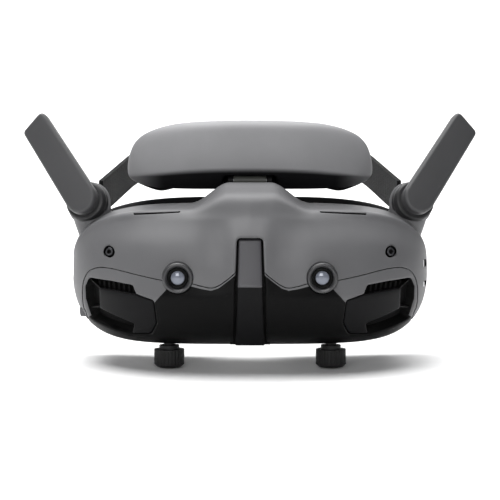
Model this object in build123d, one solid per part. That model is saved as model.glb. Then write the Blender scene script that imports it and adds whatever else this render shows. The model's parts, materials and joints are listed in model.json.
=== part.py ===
"""FPV goggles with open antennas, a hinged forehead battery unit, a headband and two eyepieces.

Millimetres. +Z is up, -Y is the way the wearer looks, -X is the wearer's right.
The origin is midway between the two eyepiece axes, on the plane of the rear lens faces.
"""

import math
import os

from build123d import *

# ---------------------------------------------------------------- driving dimensions
HALF_WIDTH = 97.0  # main casing, centre to side
FRONT_DEPTH = 76.0  # origin to the casing's foremost line
TOP = 38.5  # casing's top, clear of the raised centre
BOTTOM = 36.0  # casing's underside, below the origin
HUMP_HEIGHT = 11.5  # raised centre above the casing's top
HUMP_FLAT, HUMP_FOOT = 13.0, 29.0  # half-widths of the raised centre, at its top and foot
REAR_CENTRE, REAR_SWEEP = 2.0, 18.0  # the casing's rear edge, and how far it wraps back at the sides
WALL = 2.2
PLAN_POWER, TOP_POWER, BOTTOM_POWER = 2.6, 6.5, 6.0  # superellipse powers of the casing's outlines

EYE_X = 32.0  # half of the 64 mm middle setting between the pupils
IPD_TRAVEL = 4.0  # each eyepiece, each way: 56 to 72 mm between the pupils
BARREL_R, LENS_R, RIM_BORE_R = 18.0, 16.0, 16.6
FOCUS_IN, FOCUS_OUT = 3.0, 1.0  # barrel travel for -6 and +2 dioptres
TUBE_R = 20.0
ROD_Y, ROD_Z, ROD_R = -36.0, 23.0, 1.5
RUNNING = 0.05  # radial clearance of every running fit

KNOB_X, KNOB_Y = 43.5, -35.0
KNOB_R, KNOB_BOTTOM, KNOB_TOP = 8.1, -48.1, -38.7
NECK_R, NECK_TOP, SHAFT_R, SHAFT_TOP = 5.4, -36.5, 3.0, -26.0

CAMERA_X, CAMERA_Z, CAMERA_R = 37.8, 3.8, 8.3
CAMERA_FRONT, CAMERA_BACK = -73.6, -64.0
SCREW_X, SCREW_Z = 75.0, 15.1
BAR_HALF_TOP, BAR_HALF_FOOT, BAR_TOP, BAR_FOOT, BAR_GROOVE = 5.8, 7.4, 22.0, -31.0, 1.9

PLATE_FRONT, PLATE_BACK = -9.0, -6.5  # face frame's plate
FOAM_DEPTH, FOAM_WIDTH = 12.0, 12.0
BOSS_X, BOSS_Z = 66.0, 27.5

ANTENNA_PIVOT = (-91.5, -17.5, 41.5)  # middle of the wearer's-right paddle, on its hinge axis
ANTENNA_LEAN, ANTENNA_SPLAY = 22.0, 34.0  # degrees back from upright, degrees out from upright
PADDLE_LENGTH, ROOT_R, TIP_HALF, PADDLE_T = 55.0, 8.8, 7.8, 7.0
COLLAR_T, CUP_R, CUP_T = 2.0, 10.2, 7.0

PAD_HALF, PAD_TOP, PAD_BOTTOM, PAD_KNEE = 67.5, 83.0, 46.0, 58.0
PAD_FRONT, PAD_REAR, PAD_SWEEP = -17.0, 5.0, 13.0
PAD_WALL = 1.6
CELL_R, CELL_LENGTH, CELL_Y, CELL_Z = 7.0, 50.0, -3.6, 67.0
HINGE_Y, HINGE_Z, HINGE_PIN_R, HINGE_HALF = -9.0, 50.5, 1.5, 12.0

STRAP_WIDTH, STRAP_T, STRAP_Y, STRAP_Z, STRAP_RISE = 19.0, 2.4, 26.0, 37.6, 7.0
STRAP_REAR = 190.0
GAP = 0.3  # between soft or moving pieces and their neighbours

os.makedirs("parts", exist_ok=True)


# ---------------------------------------------------------------- helpers
def smooth(t):
    """0 to 1 with level ends."""
    t = min(1.0, max(0.0, t))
    return t * t * (3 - 2 * t)


def block(x0, x1, y0, y1, z0, z1):
    """A box from its two corners."""
    return Pos((x0 + x1) / 2, (y0 + y1) / 2, (z0 + z1) / 2) * Box(x1 - x0, y1 - y0, z1 - z0)


def rod(start, end, radius):
    """A cylinder from one point to another."""
    start = Vector(*start)
    along = Vector(*end) - start
    return Plane(origin=start + along * 0.5, z_dir=along) * Cylinder(radius, along.length)


def disc_y(x, z, y0, y1, radius):
    """A cylinder along Y."""
    return rod((x, y0, z), (x, y1, z), radius)


def ring_y(x, z, y0, y1, outer, inner):
    return disc_y(x, z, y0, y1, outer) - disc_y(x, z, y0 - 1, y1 + 1, inner)


def prism_y(points, y0, y1):
    """An XZ outline carried from y0 to y1."""
    face = make_face(Polyline(*[(x, y0, z) for x, z in points], close=True))
    return extrude(face, y1 - y0, dir=(0, 1, 0))


def prism_x(points, half):
    """A YZ outline carried from -half to half."""
    face = make_face(Polyline(*[(-half, y, z) for y, z in points], close=True))
    return extrude(face, 2 * half, dir=(1, 0, 0))


def slot_y(x, z, half_x, half_z, y0, y1):
    """A block along Y whose outline has fully rounded ends."""
    r = min(half_x, half_z)
    dx = half_x - r
    dz = half_z - r
    body = disc_y(x - dx, z - dz, y0, y1, r) + disc_y(x + dx, z + dz, y0, y1, r)
    if dx:
        return body + block(x - dx, x + dx, y0, y1, z - r, z + r)
    return body + block(x - r, x + r, y0, y1, z - dz, z + dz)


def grown(points, by):
    """An outline moved outward by a distance, corners kept."""
    count = len(points)
    after = points[1:] + points[:1]
    area = sum(a[0] * b[1] - b[0] * a[1] for a, b in zip(points, after))
    turn = 1 if area > 0 else -1
    result = []
    for i in range(count):
        a, b, c = points[i - 1], points[i], points[(i + 1) % count]
        n1 = Vector(b[1] - a[1], a[0] - b[0]).normalized() * turn
        n2 = Vector(c[1] - b[1], b[0] - c[0]).normalized() * turn
        both = (n1 + n2).normalized()
        step = by / max(0.4, both.dot(n1))
        result.append((b[0] + both.X * step, b[1] + both.Y * step))
    return result


def other_side(part):
    return mirror(part, Plane.YZ)


def both_sides(part):
    return [part, other_side(part)]


def single(part, name):
    """The one solid of a part; a part in pieces is a mistake."""
    solids = part.solids()
    assert len(solids) == 1, f"{name} is in {len(solids)} pieces"
    return solids[0]


def save(name, part, count=1):
    solids = part.solids() if hasattr(part, "solids") else [s for p in part for s in p.solids()]
    assert len(solids) == count, f"{name} has {len(solids)} solids"
    body = solids[0] if count == 1 else Compound(children=solids)
    export_step(body, f"parts/{name}.step")


def save_both(name, part):
    """Saves a fixed wearer's-right piece and its mirror image together."""
    save(name, [part, other_side(part)], 2)


def save_pair(name, part, count=1):
    """Saves the wearer's-right piece as modelled, and its mirror image as the wearer's-left piece."""
    save(f"{name}_right", part, count)
    save(f"{name}_left", other_side(part), count)


# ---------------------------------------------------------------- casing form
def share(x, inset):
    return min(1.0, abs(x) / (HALF_WIDTH + 0.5 - inset))


def plan_depth(x, inset=0.0):
    """How far the casing reaches forward of the origin at x."""
    return (FRONT_DEPTH - inset) * math.sqrt(max(0.0, 1 - share(x, inset) ** PLAN_POWER))


def top_height(x, inset=0.0):
    return (TOP - inset) * math.sqrt(max(0.0, 1 - share(x, inset) ** TOP_POWER))


def bottom_depth(x, inset=0.0):
    return (BOTTOM - inset) * math.sqrt(max(0.0, 1 - share(x, inset) ** BOTTOM_POWER))


def rear_edge(x):
    return REAR_CENTRE + REAR_SWEEP * (abs(x) / HALF_WIDTH) ** 2


def hump(x):
    return HUMP_HEIGHT * smooth((HUMP_FOOT - abs(x)) / (HUMP_FOOT - HUMP_FLAT))


def section_points(x, inset, rear):
    """The casing's side-view outline at x, from the rear top edge round the front to the rear foot."""
    depth = plan_depth(x, inset)
    top = top_height(x, inset)
    low = bottom_depth(x, inset)
    raised = hump(x)
    back = rear_edge(x) + rear
    return [
        (back, top - 1.5 + 0.3 * raised),
        (-0.15 * depth, top + 0.75 * raised),
        (-0.42 * depth, top - 0.5 + raised),
        (-0.70 * depth, 0.80 * top + 0.35 * raised),
        (-0.90 * depth, 0.42 * top),
        (-depth, -0.08 * low),
        (-0.90 * depth, -0.55 * low),
        (-0.66 * depth, -0.93 * low),
        (-0.35 * depth, -low),
        (back, -low + 1.0),
    ]


def casing_form(inset=0.0, rear=0.0):
    """The whole casing as one solid, through its side-view outlines."""
    stations = [0.0, 7.0, 14.0, 20.0, 26.0, 33.0, 45.0, 58.0, 70.0, 80.0, 88.0, 93.5, 96.6]
    stations = [s for s in stations if s < HALF_WIDTH - inset - 0.3]
    if inset:
        stations.append(HALF_WIDTH - inset - 0.4)
    wires = []
    for x in [-s for s in reversed(stations[1:])] + stations:
        points = [(x, y, z) for y, z in section_points(x, inset, rear)]
        wires.append(Wire([Spline(*points), Line(points[-1], points[0])]))
    return Solid.make_loft(wires)


SEAM = [
    (8.6, 4.8),
    (18.5, -2.0),
    (25.5, -5.8),
    (33.0, -3.5),
    (46.0, 2.3),
    (64.5, 4.7),
    (77.0, 6.0),
    (85.5, 5.0),
    (89.0, 0.0),
    (90.5, -12.0),
    (88.5, -21.0),
    (86.0, -60.0),
]
NOSE = [(8.0, -12.0), (21.0, -45.0), (-21.0, -45.0), (-8.0, -12.0)]
INTAKE = [(-86.0, -2.5), (-62.0, -1.8), (-56.0, -4.5), (-51.0, -9.5)]
INTAKE += [(-54.0, -19.0), (-61.0, -27.5), (-76.0, -24.5), (-86.0, -17.0)]


def below_seam():
    """Everything below the line where the lower casing meets the upper one."""
    return prism_y(SEAM + [(-x, z) for x, z in reversed(SEAM)], -120, 60)


def nose_space(grow=0.0):
    """The room for the nose, cut up into the underside from behind."""
    return prism_y(grown(NOSE, grow), -28 - grow, 60)


def surface_plane(x, z, inset=0.0):
    """A plane on the casing's front at (x, z), facing out of it."""
    def depth_at(px, pz):
        upright = abs(pz) / (TOP if pz > 0 else BOTTOM)
        return -plan_depth(px, inset) * (1 - 0.42 * upright ** 2.2)

    y = depth_at(x, z)
    along_x = Vector(1, (depth_at(x + 0.5, z) - depth_at(x - 0.5, z)), 0)
    along_z = Vector(0, (depth_at(x, z + 0.5) - depth_at(x, z - 0.5)), 1)
    return Plane(origin=(x, y, z), z_dir=along_x.cross(along_z))


def flank(y, z):
    """How far out the casing's wearer's-right flank lies at (y, z)."""
    return (OUTER & rod((-110, y, z), (-50, y, z), 0.4)).bounding_box().min.X


def shifted(back, down=0.0):
    """The casing's outer form, moved back and down."""
    return Pos(0, back, -down) * OUTER


def layer(near, far):
    """A layer behind the casing's front, between two depths along Y."""
    return shifted(near) - shifted(far)


OUTER = casing_form()
INNER = casing_form(WALL, 3.0)
SEAM_BLOCK = below_seam()

# ---------------------------------------------------------------- casing
casing = (OUTER - nose_space()) - (INNER - nose_space(WALL))
for side in (-1, 1):
    for z_side in (-1, 1):
        post = disc_y(side * BOSS_X, z_side * BOSS_Z, -26, PLATE_FRONT, 3.4)
        post += Pos(side * BOSS_X, (PLATE_FRONT - 26) / 2, z_side * 33) * Box(6, 26 + PLATE_FRONT, 11)
        post &= casing_form(WALL / 2)
        casing += post
        casing -= disc_y(side * BOSS_X, z_side * BOSS_Z, -22, 0, 1.3)

bar_outline = [(-BAR_HALF_TOP, BAR_TOP), (BAR_HALF_TOP, BAR_TOP)]
bar_outline += [(BAR_HALF_FOOT, BAR_FOOT), (-BAR_HALF_FOOT, BAR_FOOT)]
casing -= prism_y(grown(bar_outline, BAR_GROOVE), -90, -42)
for side in (-1, 1):
    casing -= disc_y(side * CAMERA_X, CAMERA_Z, -90, -58, CAMERA_R + 0.1)
    vent = [(29.0, 37.2), (61.5, 34.6), (61.5, 35.1), (29.0, 38.8)]
    casing -= prism_y([(side * x, z) for x, z in vent], -60, -14)
    intake = prism_y([(-side * x, z) for x, z in INTAKE], -80, -8)
    casing -= intake
    near, far = side * KNOB_X - IPD_TRAVEL, side * KNOB_X + IPD_TRAVEL
    casing -= rod((near, KNOB_Y, -40), (near, KNOB_Y, -30), SHAFT_R + 0.5)
    casing -= rod((far, KNOB_Y, -40), (far, KNOB_Y, -30), SHAFT_R + 0.5)
    casing -= block(near, far, KNOB_Y - 3.5, KNOB_Y + 3.5, -40, -30)

# front screws stand square to the surface
screw_plane = surface_plane(-SCREW_X, SCREW_Z)
screw_seat = screw_plane * Pos(0, 0, 1.5) * Cylinder(3.1, 5)
screw_hole = screw_plane * Pos(0, 0, -5) * Cylinder(1.3, 12)
for cut in both_sides(screw_seat) + both_sides(screw_hole):
    casing -= cut
screw = screw_plane * Pos(0, 0, -0.35) * Cylinder(2.6, 1.3)
screw += screw_plane * Pos(0, 0, -4.4) * Cylinder(1.2, 7)
screw -= screw_plane * Pos(0, 0, 0.2) * extrude(RegularPolygon(0.9, 6), 1.2, both=True)
save_both("front_screws", single(screw, "front screw"))

# buttons on the wearer's-right flank press straight in; a flange inside the wall keeps each one in
BUTTON_Z = -20.5
BUTTONS = {"power_button": (-20.4, 3.0), "link_button": (-13.0, 2.0)}
for name, (y, half_y) in BUTTONS.items():
    casing -= block(-99, -80, y - half_y, y + half_y, BUTTON_Z - 2.4, BUTTON_Z + 2.4)
    proud = flank(y, BUTTON_Z) - 1.5
    key = block(proud, proud + 9.0, y - half_y + 0.2, y + half_y - 0.2, BUTTON_Z - 2.2, BUTTON_Z + 2.2)
    key = fillet(key.edges().filter_by(Axis.X), 1.2)
    key = fillet(key.faces().sort_by(Axis.X)[0].edges(), 0.6)
    low, high = y - half_y - 0.6, y + half_y + 0.6
    flange = block(proud + 8.2, proud + 9.0, low, high, BUTTON_Z - 3.0, BUTTON_Z + 3.0)
    save(name, single(key + flange, name))

# ports on the wearer's-left flank, one above the other
PORT_Y = -16.5
PORTS = {"usb_port": (6.0, 4.9, 2.0), "card_socket": (-5.0, 6.2, 1.3)}
for name, (z, half_y, half_z) in PORTS.items():
    mouth = -flank(PORT_Y, z)
    casing -= Pos(mouth, PORT_Y, z) * Box(14, 2 * half_y, 2 * half_z)
    shell = Pos(mouth - 5.4, PORT_Y, z) * Box(9, 2 * half_y - 0.2, 2 * half_z - 0.2)
    shell -= Pos(mouth - 4.4, PORT_Y, z) * Box(9, 2 * half_y - 1.4, 2 * half_z - 1.1)
    save(name, single(shell, name))

# touch panel set flush in the wearer's-right flank
casing -= (Pos(-100, -2, 0) * Rot(0, 0, -90) * slot_y(0, 3, 10, 8, 0, 14)) - casing_form(1.0)
touch = (OUTER & Pos(-100, -2, 0) * Rot(0, 0, -90) * slot_y(0, 3, 9.8, 7.8, 0, 14)) - casing_form(1.0)
save("touch_panel", single(touch, "touch panel"))

lower = single(casing & SEAM_BLOCK, "lower casing")
upper = single(casing - SEAM_BLOCK, "upper casing")
save("upper_shell", upper)
save("lower_shell", lower)

# ---------------------------------------------------------------- front details
bar_profile = [(-50, 22), (-66.5, 22), (-72.5, 14), (-76.5, 4), (-77.2, -3.5)]
bar_profile += [(-74, -14), (-68, -24), (-62, -31), (-48, -31)]
bar = prism_y(bar_outline, -90, -50) & prism_x(bar_profile, 12)
bar -= shifted(4.6)
bar_back = layer(3.4, 5.2) & prism_y(grown(bar_outline, 5), -90, -50)
bar += bar_back & block(-20, 20, -90, -50, -26, 20)
save("centre_bar", single(bar, "centre bar"))

camera_x = -CAMERA_X
bezel = ring_y(camera_x, CAMERA_Z, CAMERA_FRONT, CAMERA_BACK, CAMERA_R, 5.3)
bezel = chamfer(bezel.faces().sort_by(Axis.Y)[0].edges(), 0.7)
save_both("camera_bezels", bezel)
barrel = ring_y(camera_x, CAMERA_Z, CAMERA_FRONT + 0.8, CAMERA_BACK, 5.2, 2.7)
barrel += disc_y(camera_x, CAMERA_Z, -66, -64, 4)
save_both("camera_barrels", single(barrel, "camera barrel"))
dome = Pos(camera_x, CAMERA_FRONT + 5.5, CAMERA_Z) * Sphere(4.2) & disc_y(camera_x, CAMERA_Z, -80, -67, 2.6)
save_both("camera_lenses", single(dome, "camera lens"))

vent_strip = (shifted(1.2, 2.2) - shifted(2.0, 3.2)) & block(-60, -30, -46, -18, 30, 45)
vent_strip &= INNER
for i in range(7):
    vent_strip -= block(-57.6 + 3.9 * i, -55.9 + 3.9 * i, -42, -30, 30, 45)
save_both("top_vents", single(vent_strip, "top vent"))

# side intakes: a frame round the recess, a panel across it and slats in the slot above the panel
intake_frame = layer(0.8, 6.0) & prism_y(grown(INTAKE, -0.1), -80, -14)
intake_frame -= prism_y(grown(INTAKE, -2.4), -80, -8)
save_both("intake_frames", single(intake_frame, "intake frame"))
panel_outline = grown(INTAKE, -2.5)
panel = (layer(2.0, 4.0) & prism_y(panel_outline, -80, -14)) - block(-90, -40, -80, 0, -7.2, 5)
save_both("intake_panels", single(panel, "intake panel"))
slats = layer(3.6, 5.6) & prism_y(panel_outline, -80, -14) & block(-90, -40, -80, 0, -7.0, 5)
for i in range(5):
    slats -= block(-81.0 + 5.2 * i, -77.8 + 5.2 * i, -90, -8, -6.0, -5.0)
save_both("intake_grilles", single(slats, "intake grille"))

# ---------------------------------------------------------------- face side
opening = slot_y(-EYE_X, 0, BARREL_R + IPD_TRAVEL + 0.8, BARREL_R + 0.8, -20, 0)
seat_inner = casing_form(WALL + 2.6, 3.0)
seat = casing_form(WALL + 0.6) & block(-100, 100, PLATE_FRONT, 30, -50, 50)
seat -= nose_space(WALL + 0.3)
seat -= (seat_inner - nose_space(WALL + 2.3)) & block(-100, 100, PLATE_BACK, 40, -60, 60)
for cut in both_sides(opening):
    seat -= cut
for side in (-1, 1):
    for z_side in (-1, 1):
        seat -= disc_y(side * BOSS_X, z_side * BOSS_Z, -20, 0, 1.6)
        seat -= disc_y(side * BOSS_X, z_side * (BOSS_Z + 0.4), PLATE_BACK, 20, 3.2)
seat -= block(-6.2, 6.2, -7.2, -6, 6.9, 15.1)
save("face_frame", single(seat, "face frame"))
save("proximity_window", block(-6, 6, -7.2, -6.4, 7, 15))
frame_screws = []
for side in (-1, 1):
    for z_side in (-1, 1):
        head = disc_y(side * BOSS_X, z_side * BOSS_Z, PLATE_BACK, -4.7, 2.6)
        frame_screws.append(head + disc_y(side * BOSS_X, z_side * BOSS_Z, -19, PLATE_BACK, 1.25))
save("frame_screws", frame_screws, 4)

def behind(distance):
    """Everything behind a surface that follows the casing's rear edge at a distance."""
    points = [(x, rear_edge(x) + distance) for x in (-110, -75, -50, -25, 0, 25, 50, 75, 110)]
    plan = Spline(*points) + Polyline(points[-1], (110, 90), (-110, 90), points[0])
    return Pos(0, 0, -60) * extrude(make_face(plan), 120, dir=(0, 0, 1))


def face_outline(inset):
    """The casing's front view as a closed curve, inset."""
    stations = [0.999, 0.99, 0.96, 0.91, 0.83, 0.7, 0.5, 0.25, 0]
    half = HALF_WIDTH - inset
    upper_line = [(half * t, (TOP - inset) * math.sqrt(1 - t**TOP_POWER)) for t in stations]
    lower_line = [(half * t, -(BOTTOM - inset) * math.sqrt(1 - t**BOTTOM_POWER)) for t in reversed(stations)]
    right_half = lower_line + upper_line
    outline = [(x, 0, z) for x, z in right_half] + [(-x, 0, z) for x, z in reversed(right_half[1:-1])]
    return make_face(Spline(*outline, periodic=True))


ring = extrude(face_outline(0.3), 45, dir=(0, 1, 0)) - extrude(face_outline(FOAM_WIDTH), 45, dir=(0, 1, 0))
foam = (ring & behind(GAP)) - behind(FOAM_DEPTH) - nose_space(2.0)
foam = max(foam.solids(), key=lambda piece: piece.volume)
save("face_foam", single(foam, "face foam"))

# ---------------------------------------------------------------- optics, one set each side
guide = [rod((-60, ROD_Y, z), (60, ROD_Y, z), ROD_R) for z in (-ROD_Z, ROD_Z)]
save("guide_rods", guide, 2)
save_both("rod_posts", block(-63.5, -60, ROD_Y - 2.2, PLATE_FRONT, -25.2, 25.2))

tube = ring_y(-EYE_X, 0, -48, -12, TUBE_R, BARREL_R + RUNNING)
tube += disc_y(-EYE_X, 0, -50, -48, TUBE_R) - block(-EYE_X - 9, -EYE_X + 9, -51, -47, -6, 6)
for z_side in (-1, 1):
    lug = Pos(-EYE_X, ROD_Y, z_side * 21.5) * Box(18, 8, 10)
    tube += lug - disc_y(-EYE_X, 0, -60, -10, TUBE_R - 0.5)
arm = block(-KNOB_X - 5, -KNOB_X + 5, KNOB_Y - 4.9, KNOB_Y + 4.9, -32.0, -12)
tube += arm - disc_y(-EYE_X, 0, -60, -10, TUBE_R - 0.5)
for z_side in (-1, 1):
    tube -= rod((-90, ROD_Y, z_side * ROD_Z), (0, ROD_Y, z_side * ROD_Z), ROD_R + RUNNING)
tube -= rod((-KNOB_X, KNOB_Y, -40), (-KNOB_X, KNOB_Y, SHAFT_TOP + 0.3), SHAFT_R + RUNNING)
save_pair("optic_tube", single(tube, "optic tube"))
save_pair("display", block(-EYE_X - 13, -EYE_X + 13, -47.9, -46.3, -8, 8))

moving = ring_y(-EYE_X, 0, -40, -3, BARREL_R, 14.8)
moving -= disc_y(-EYE_X, 0, -14, 0, LENS_R + 0.02)
save_pair("lens_barrel", single(moving, "lens barrel"))
rim = ring_y(-EYE_X, 0, -3, 0, BARREL_R, RIM_BORE_R)
save_pair("eyepiece_rim", rim)
glass = disc_y(-EYE_X, 0, -14, -4, LENS_R) & Pos(-EYE_X, -34, 0) * Sphere(30)
glass &= Pos(-EYE_X, 21, 0) * Sphere(34.5)
save_pair("lens", single(glass, "lens"))

knob = rod((-KNOB_X, KNOB_Y, KNOB_BOTTOM), (-KNOB_X, KNOB_Y, KNOB_TOP), KNOB_R)
knob = chamfer(knob.faces().sort_by(Axis.Z)[0].edges(), 1.4)
for i in range(24):
    angle = math.radians(15 * i)
    flute = (-KNOB_X + (KNOB_R + 0.25) * math.cos(angle), KNOB_Y + (KNOB_R + 0.25) * math.sin(angle))
    knob -= rod((*flute, KNOB_BOTTOM - 1), (*flute, KNOB_TOP + 1), 0.6)
knob += rod((-KNOB_X, KNOB_Y, KNOB_TOP), (-KNOB_X, KNOB_Y, NECK_TOP), NECK_R)
knob += rod((-KNOB_X, KNOB_Y, NECK_TOP), (-KNOB_X, KNOB_Y, SHAFT_TOP), SHAFT_R)
save_pair("diopter_knob", single(knob, "knob"))

# ---------------------------------------------------------------- electronics
save("mainboard", block(-44, 44, -59.0, -57.4, -18, 12))
sink = block(-20, 20, -61.0, -59.0, -18, 8)
for i in range(11):
    sink += block(-20 + 3.9 * i, -19 + 3.9 * i, -64.5, -61.0, -18, 8)
save("heatsink", single(sink, "heatsink"))
housing = block(-16, 16, -57.4, -50.6, -16, 16) - disc_y(0, 0, -56.4, -50, 14)
housing += ring_y(0, 0, -57.4, -54.5, 3.0, 1.55) - disc_y(0, 0, -58, -50, 1.55)
housing += disc_y(0, 0, -57.4, -52, 1.5)
save("fan_housing", single(housing, "fan housing"))
rotor = ring_y(0, 0, -55.6, -51.2, 6.0, 1.55)
rotor -= ring_y(0, 0, -56, -54.3, 4.6, 1)
for i in range(9):
    blade = Pos(9.3, -53.2, 0) * Rot(35, 0, 0) * Box(8, 0.8, 4.2)
    rotor += Rot(0, 40 * i, 0) * blade
save("fan_rotor", single(rotor, "fan rotor"))

# ---------------------------------------------------------------- antennas
lean = math.radians(ANTENNA_LEAN)
splay = math.radians(ANTENNA_SPLAY)
axis = Vector(-0.64 * math.sin(lean), -math.cos(lean), 0.77 * math.sin(lean)).normalized()
reach = Vector(-math.sin(splay) * math.cos(lean), math.sin(lean), math.cos(splay) * math.cos(lean))
reach = (reach - axis * reach.dot(axis)).normalized()
antenna = Plane(origin=ANTENNA_PIVOT, x_dir=reach.cross(axis), z_dir=axis)


def paddle_face(inset, z, root=ROOT_R):
    """The paddle's outline, root circle to raked tip, at a height along the hinge axis."""
    half = TIP_HALF - inset
    end = PADDLE_LENGTH - inset
    corners = [(-root + inset, 0), (root - inset, 0), (half, end - 3.4), (-half, end)]
    sides = make_face(Polyline(*corners, close=True))
    sides = fillet(sides.vertices().group_by(Axis.Y)[-1] + sides.vertices().group_by(Axis.Y)[-2], 2.4)
    return antenna * Pos(0, 0, z) * (sides + Circle(root - inset))


half_t = PADDLE_T / 2
paddle = extrude(paddle_face(0, -half_t + 1.2), PADDLE_T - 1.2, dir=axis)
paddle = chamfer(paddle.faces().sort_by(Axis(ANTENNA_PIVOT, tuple(axis)))[-1].edges(), 0.9)
paddle -= extrude(paddle_face(1.8, -half_t), 3.4, dir=axis)
cover = extrude(paddle_face(0, -half_t), 1.2, dir=axis) - antenna * Cylinder(2.5 + RUNNING, 20)
strip = antenna * Pos(0, 31, -half_t + 2.1) * Box(8, 38, 0.8)
pin = antenna * Pos(0, 0, -half_t + 2.0) * Cylinder(4.0, 1.2)
pin += antenna * Pos(0, 0, -half_t - 5) * Cylinder(2.5, 13)
save_pair("antenna_shell", single(paddle, "antenna shell"))
save_pair("antenna_cover", single(cover, "antenna cover"))
save_pair("antenna_strip", single(strip, "antenna strip"))
save_both("antenna_pins", single(pin, "antenna pin"))
collar = antenna * Pos(0, 0, -half_t - 0.1 - COLLAR_T / 2) * (Cylinder(8.2, COLLAR_T) - Cylinder(2.5, 9))
save_both("antenna_collars", single(collar, "collar"))
cup_front = -half_t - 0.1 - COLLAR_T
cup = antenna * Pos(0, 0, cup_front - CUP_T / 2) * Cylinder(CUP_R, CUP_T)
foot = antenna.origin + axis * (cup_front - CUP_T / 2 - 1)
cup += rod(tuple(foot), (foot.X + 5, foot.Y + 4, 12), 7.0) - OUTER
cup -= antenna * Pos(0, 0, cup_front + 10) * Cylinder(20, 20)
cup = single(Part(cup.solids().sort_by(Axis.Z)[-1].wrapped), "cup")
cup -= OUTER
cup -= antenna * Pos(0, 0, -half_t - 5) * Cylinder(2.5, 13)
save_both("antenna_bases", single(cup, "antenna base"))

# ---------------------------------------------------------------- forehead unit
PAD_OUTLINE = [(0, 83), (40, 81.2), (56, 77.5), (63.5, 71), (66.5, 62), (66, 54.5)]
PAD_OUTLINE += [(60, 49.5), (48, 46), (28, 47), (16, 54), (0, 54)]


def pad_front(x):
    return PAD_FRONT + PAD_SWEEP * (abs(x) / PAD_HALF) ** 4


def pad_block(inset, y_front, y_back):
    """The forehead unit's front view carried back along a curved front."""
    outline = PAD_OUTLINE + [(-x, z) for x, z in reversed(PAD_OUTLINE[1:-1])]
    outline = [(x * (1 - inset / PAD_HALF), 66 + (z - 66) * (1 - inset / 18)) for x, z in outline]
    half = PAD_HALF + 4
    points = [(x, pad_front(x) + y_front) for x in (-half, -54, -40, -24, -8, 8, 24, 40, 54, half)]
    plan = Line((-half, y_back), (-half, points[0][1])) + Spline(*points)
    plan += Polyline((half, points[-1][1]), (half, y_back), (-half, y_back))
    body = Pos(0, 0, 30) * extrude(make_face(plan), 70, dir=(0, 0, 1))
    return prism_y(outline, -60, 60) & body


def pad_profile(inset):
    """The forehead unit's side view, creased where it leans back below its middle."""
    front = [(-9, 90), (-12.5, 83), (-16, 75), (-17.2, 66), (-17.4, PAD_KNEE), (-14.5, 50), (-11, 40)]
    return prism_x([(40, 40), (40, 90)] + [(y + inset, z) for y, z in front], 90)


pad_outer = pad_block(0, 0, PAD_REAR) & pad_profile(0)
pad_inner = pad_block(PAD_WALL, PAD_WALL, PAD_REAR + 5) & pad_profile(PAD_WALL)
pad_shell = pad_outer - pad_inner
knuckle = rod((-HINGE_HALF + 3.2, HINGE_Y, HINGE_Z), (HINGE_HALF - 3.2, HINGE_Y, HINGE_Z), 3.0)
knuckle += block(-HINGE_HALF + 3.2, HINGE_HALF - 3.2, HINGE_Y - 2.2, HINGE_Y + 3, HINGE_Z, 55.5)
pad_shell += knuckle
pad_shell -= rod((-20, HINGE_Y, HINGE_Z), (20, HINGE_Y, HINGE_Z), HINGE_PIN_R + RUNNING)
save("pad_shell", single(pad_shell, "pad shell"))
tray = pad_block(PAD_WALL + 0.1, PAD_WALL + 1, PAD_REAR)
tray &= block(-90, 90, PAD_REAR - 1.4, PAD_REAR, 30, 90)
save("pad_tray", single(tray, "pad tray"))
cells = [rod((x, CELL_Y, CELL_Z), (x + CELL_LENGTH, CELL_Y, CELL_Z), CELL_R) for x in (-CELL_LENGTH - 1, 1)]
save("battery_cells", cells, 2)
save("battery_board", block(-30, 30, -8, -6.8, 55.9, 59.2))
cushion = pad_block(0.6, 0, PAD_REAR + 10) & block(-90, 90, PAD_REAR + GAP, PAD_REAR + 10, 30, 90)
save("pad_cushion", single(cushion, "pad cushion"))
bracket = block(-HINGE_HALF, HINGE_HALF, HINGE_Y - 6, HINGE_Y + 6, 40, HINGE_Z - 3.4) - OUTER
bracket = Part(bracket.solids().sort_by(Axis.Z)[-1].wrapped)
for side in (-1, 1):
    ear = rod((side * 9.1, HINGE_Y, HINGE_Z), (side * HINGE_HALF, HINGE_Y, HINGE_Z), 3.0)
    near, far = sorted((side * 9.1, side * HINGE_HALF))
    ear += block(near, far, HINGE_Y - 3, HINGE_Y + 3, 44, HINGE_Z)
    bracket += ear
bracket -= rod((-20, HINGE_Y, HINGE_Z), (20, HINGE_Y, HINGE_Z), HINGE_PIN_R)
bracket -= OUTER
save("pad_bracket", single(bracket, "pad bracket"))
save("pad_pin", rod((-HINGE_HALF, HINGE_Y, HINGE_Z), (HINGE_HALF, HINGE_Y, HINGE_Z), HINGE_PIN_R))

# ---------------------------------------------------------------- headband
band_line = [(-84, STRAP_Y + 8), (-80, 60), (-74, 100), (-66, 140), (-46, 174)]
band_line.append((0, STRAP_REAR - STRAP_T / 2))
band_line += [(-x, y) for x, y in reversed(band_line[:-1])]


def band(points, thickness, width):
    """A strip on edge along a plan curve, rising gently to the rear."""
    sides = []
    for way in (-1, 1):
        side_points = []
        for i, (x, y) in enumerate(points):
            before = points[max(0, i - 1)]
            after = points[min(len(points) - 1, i + 1)]
            across = Vector(before[1] - after[1], after[0] - before[0]).normalized()
            side_points.append((x + across.X * way * thickness / 2, y + across.Y * way * thickness / 2))
        sides.append(side_points)
    edges = Spline(*sides[0]) + Line(sides[0][-1], sides[1][-1])
    edges += Spline(*sides[1]) + Line(sides[1][0], sides[0][0])
    flat = Pos(0, 0, STRAP_Z - width / 2) * extrude(make_face(edges), width, dir=(0, 0, 1))
    return risen(flat)


def risen(shape):
    """A shape laid out level, turned about the strap's front end to rise to the rear."""
    return shape.rotate(Axis((0, STRAP_Y, STRAP_Z), (1, 0, 0)), STRAP_RISE)


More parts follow.
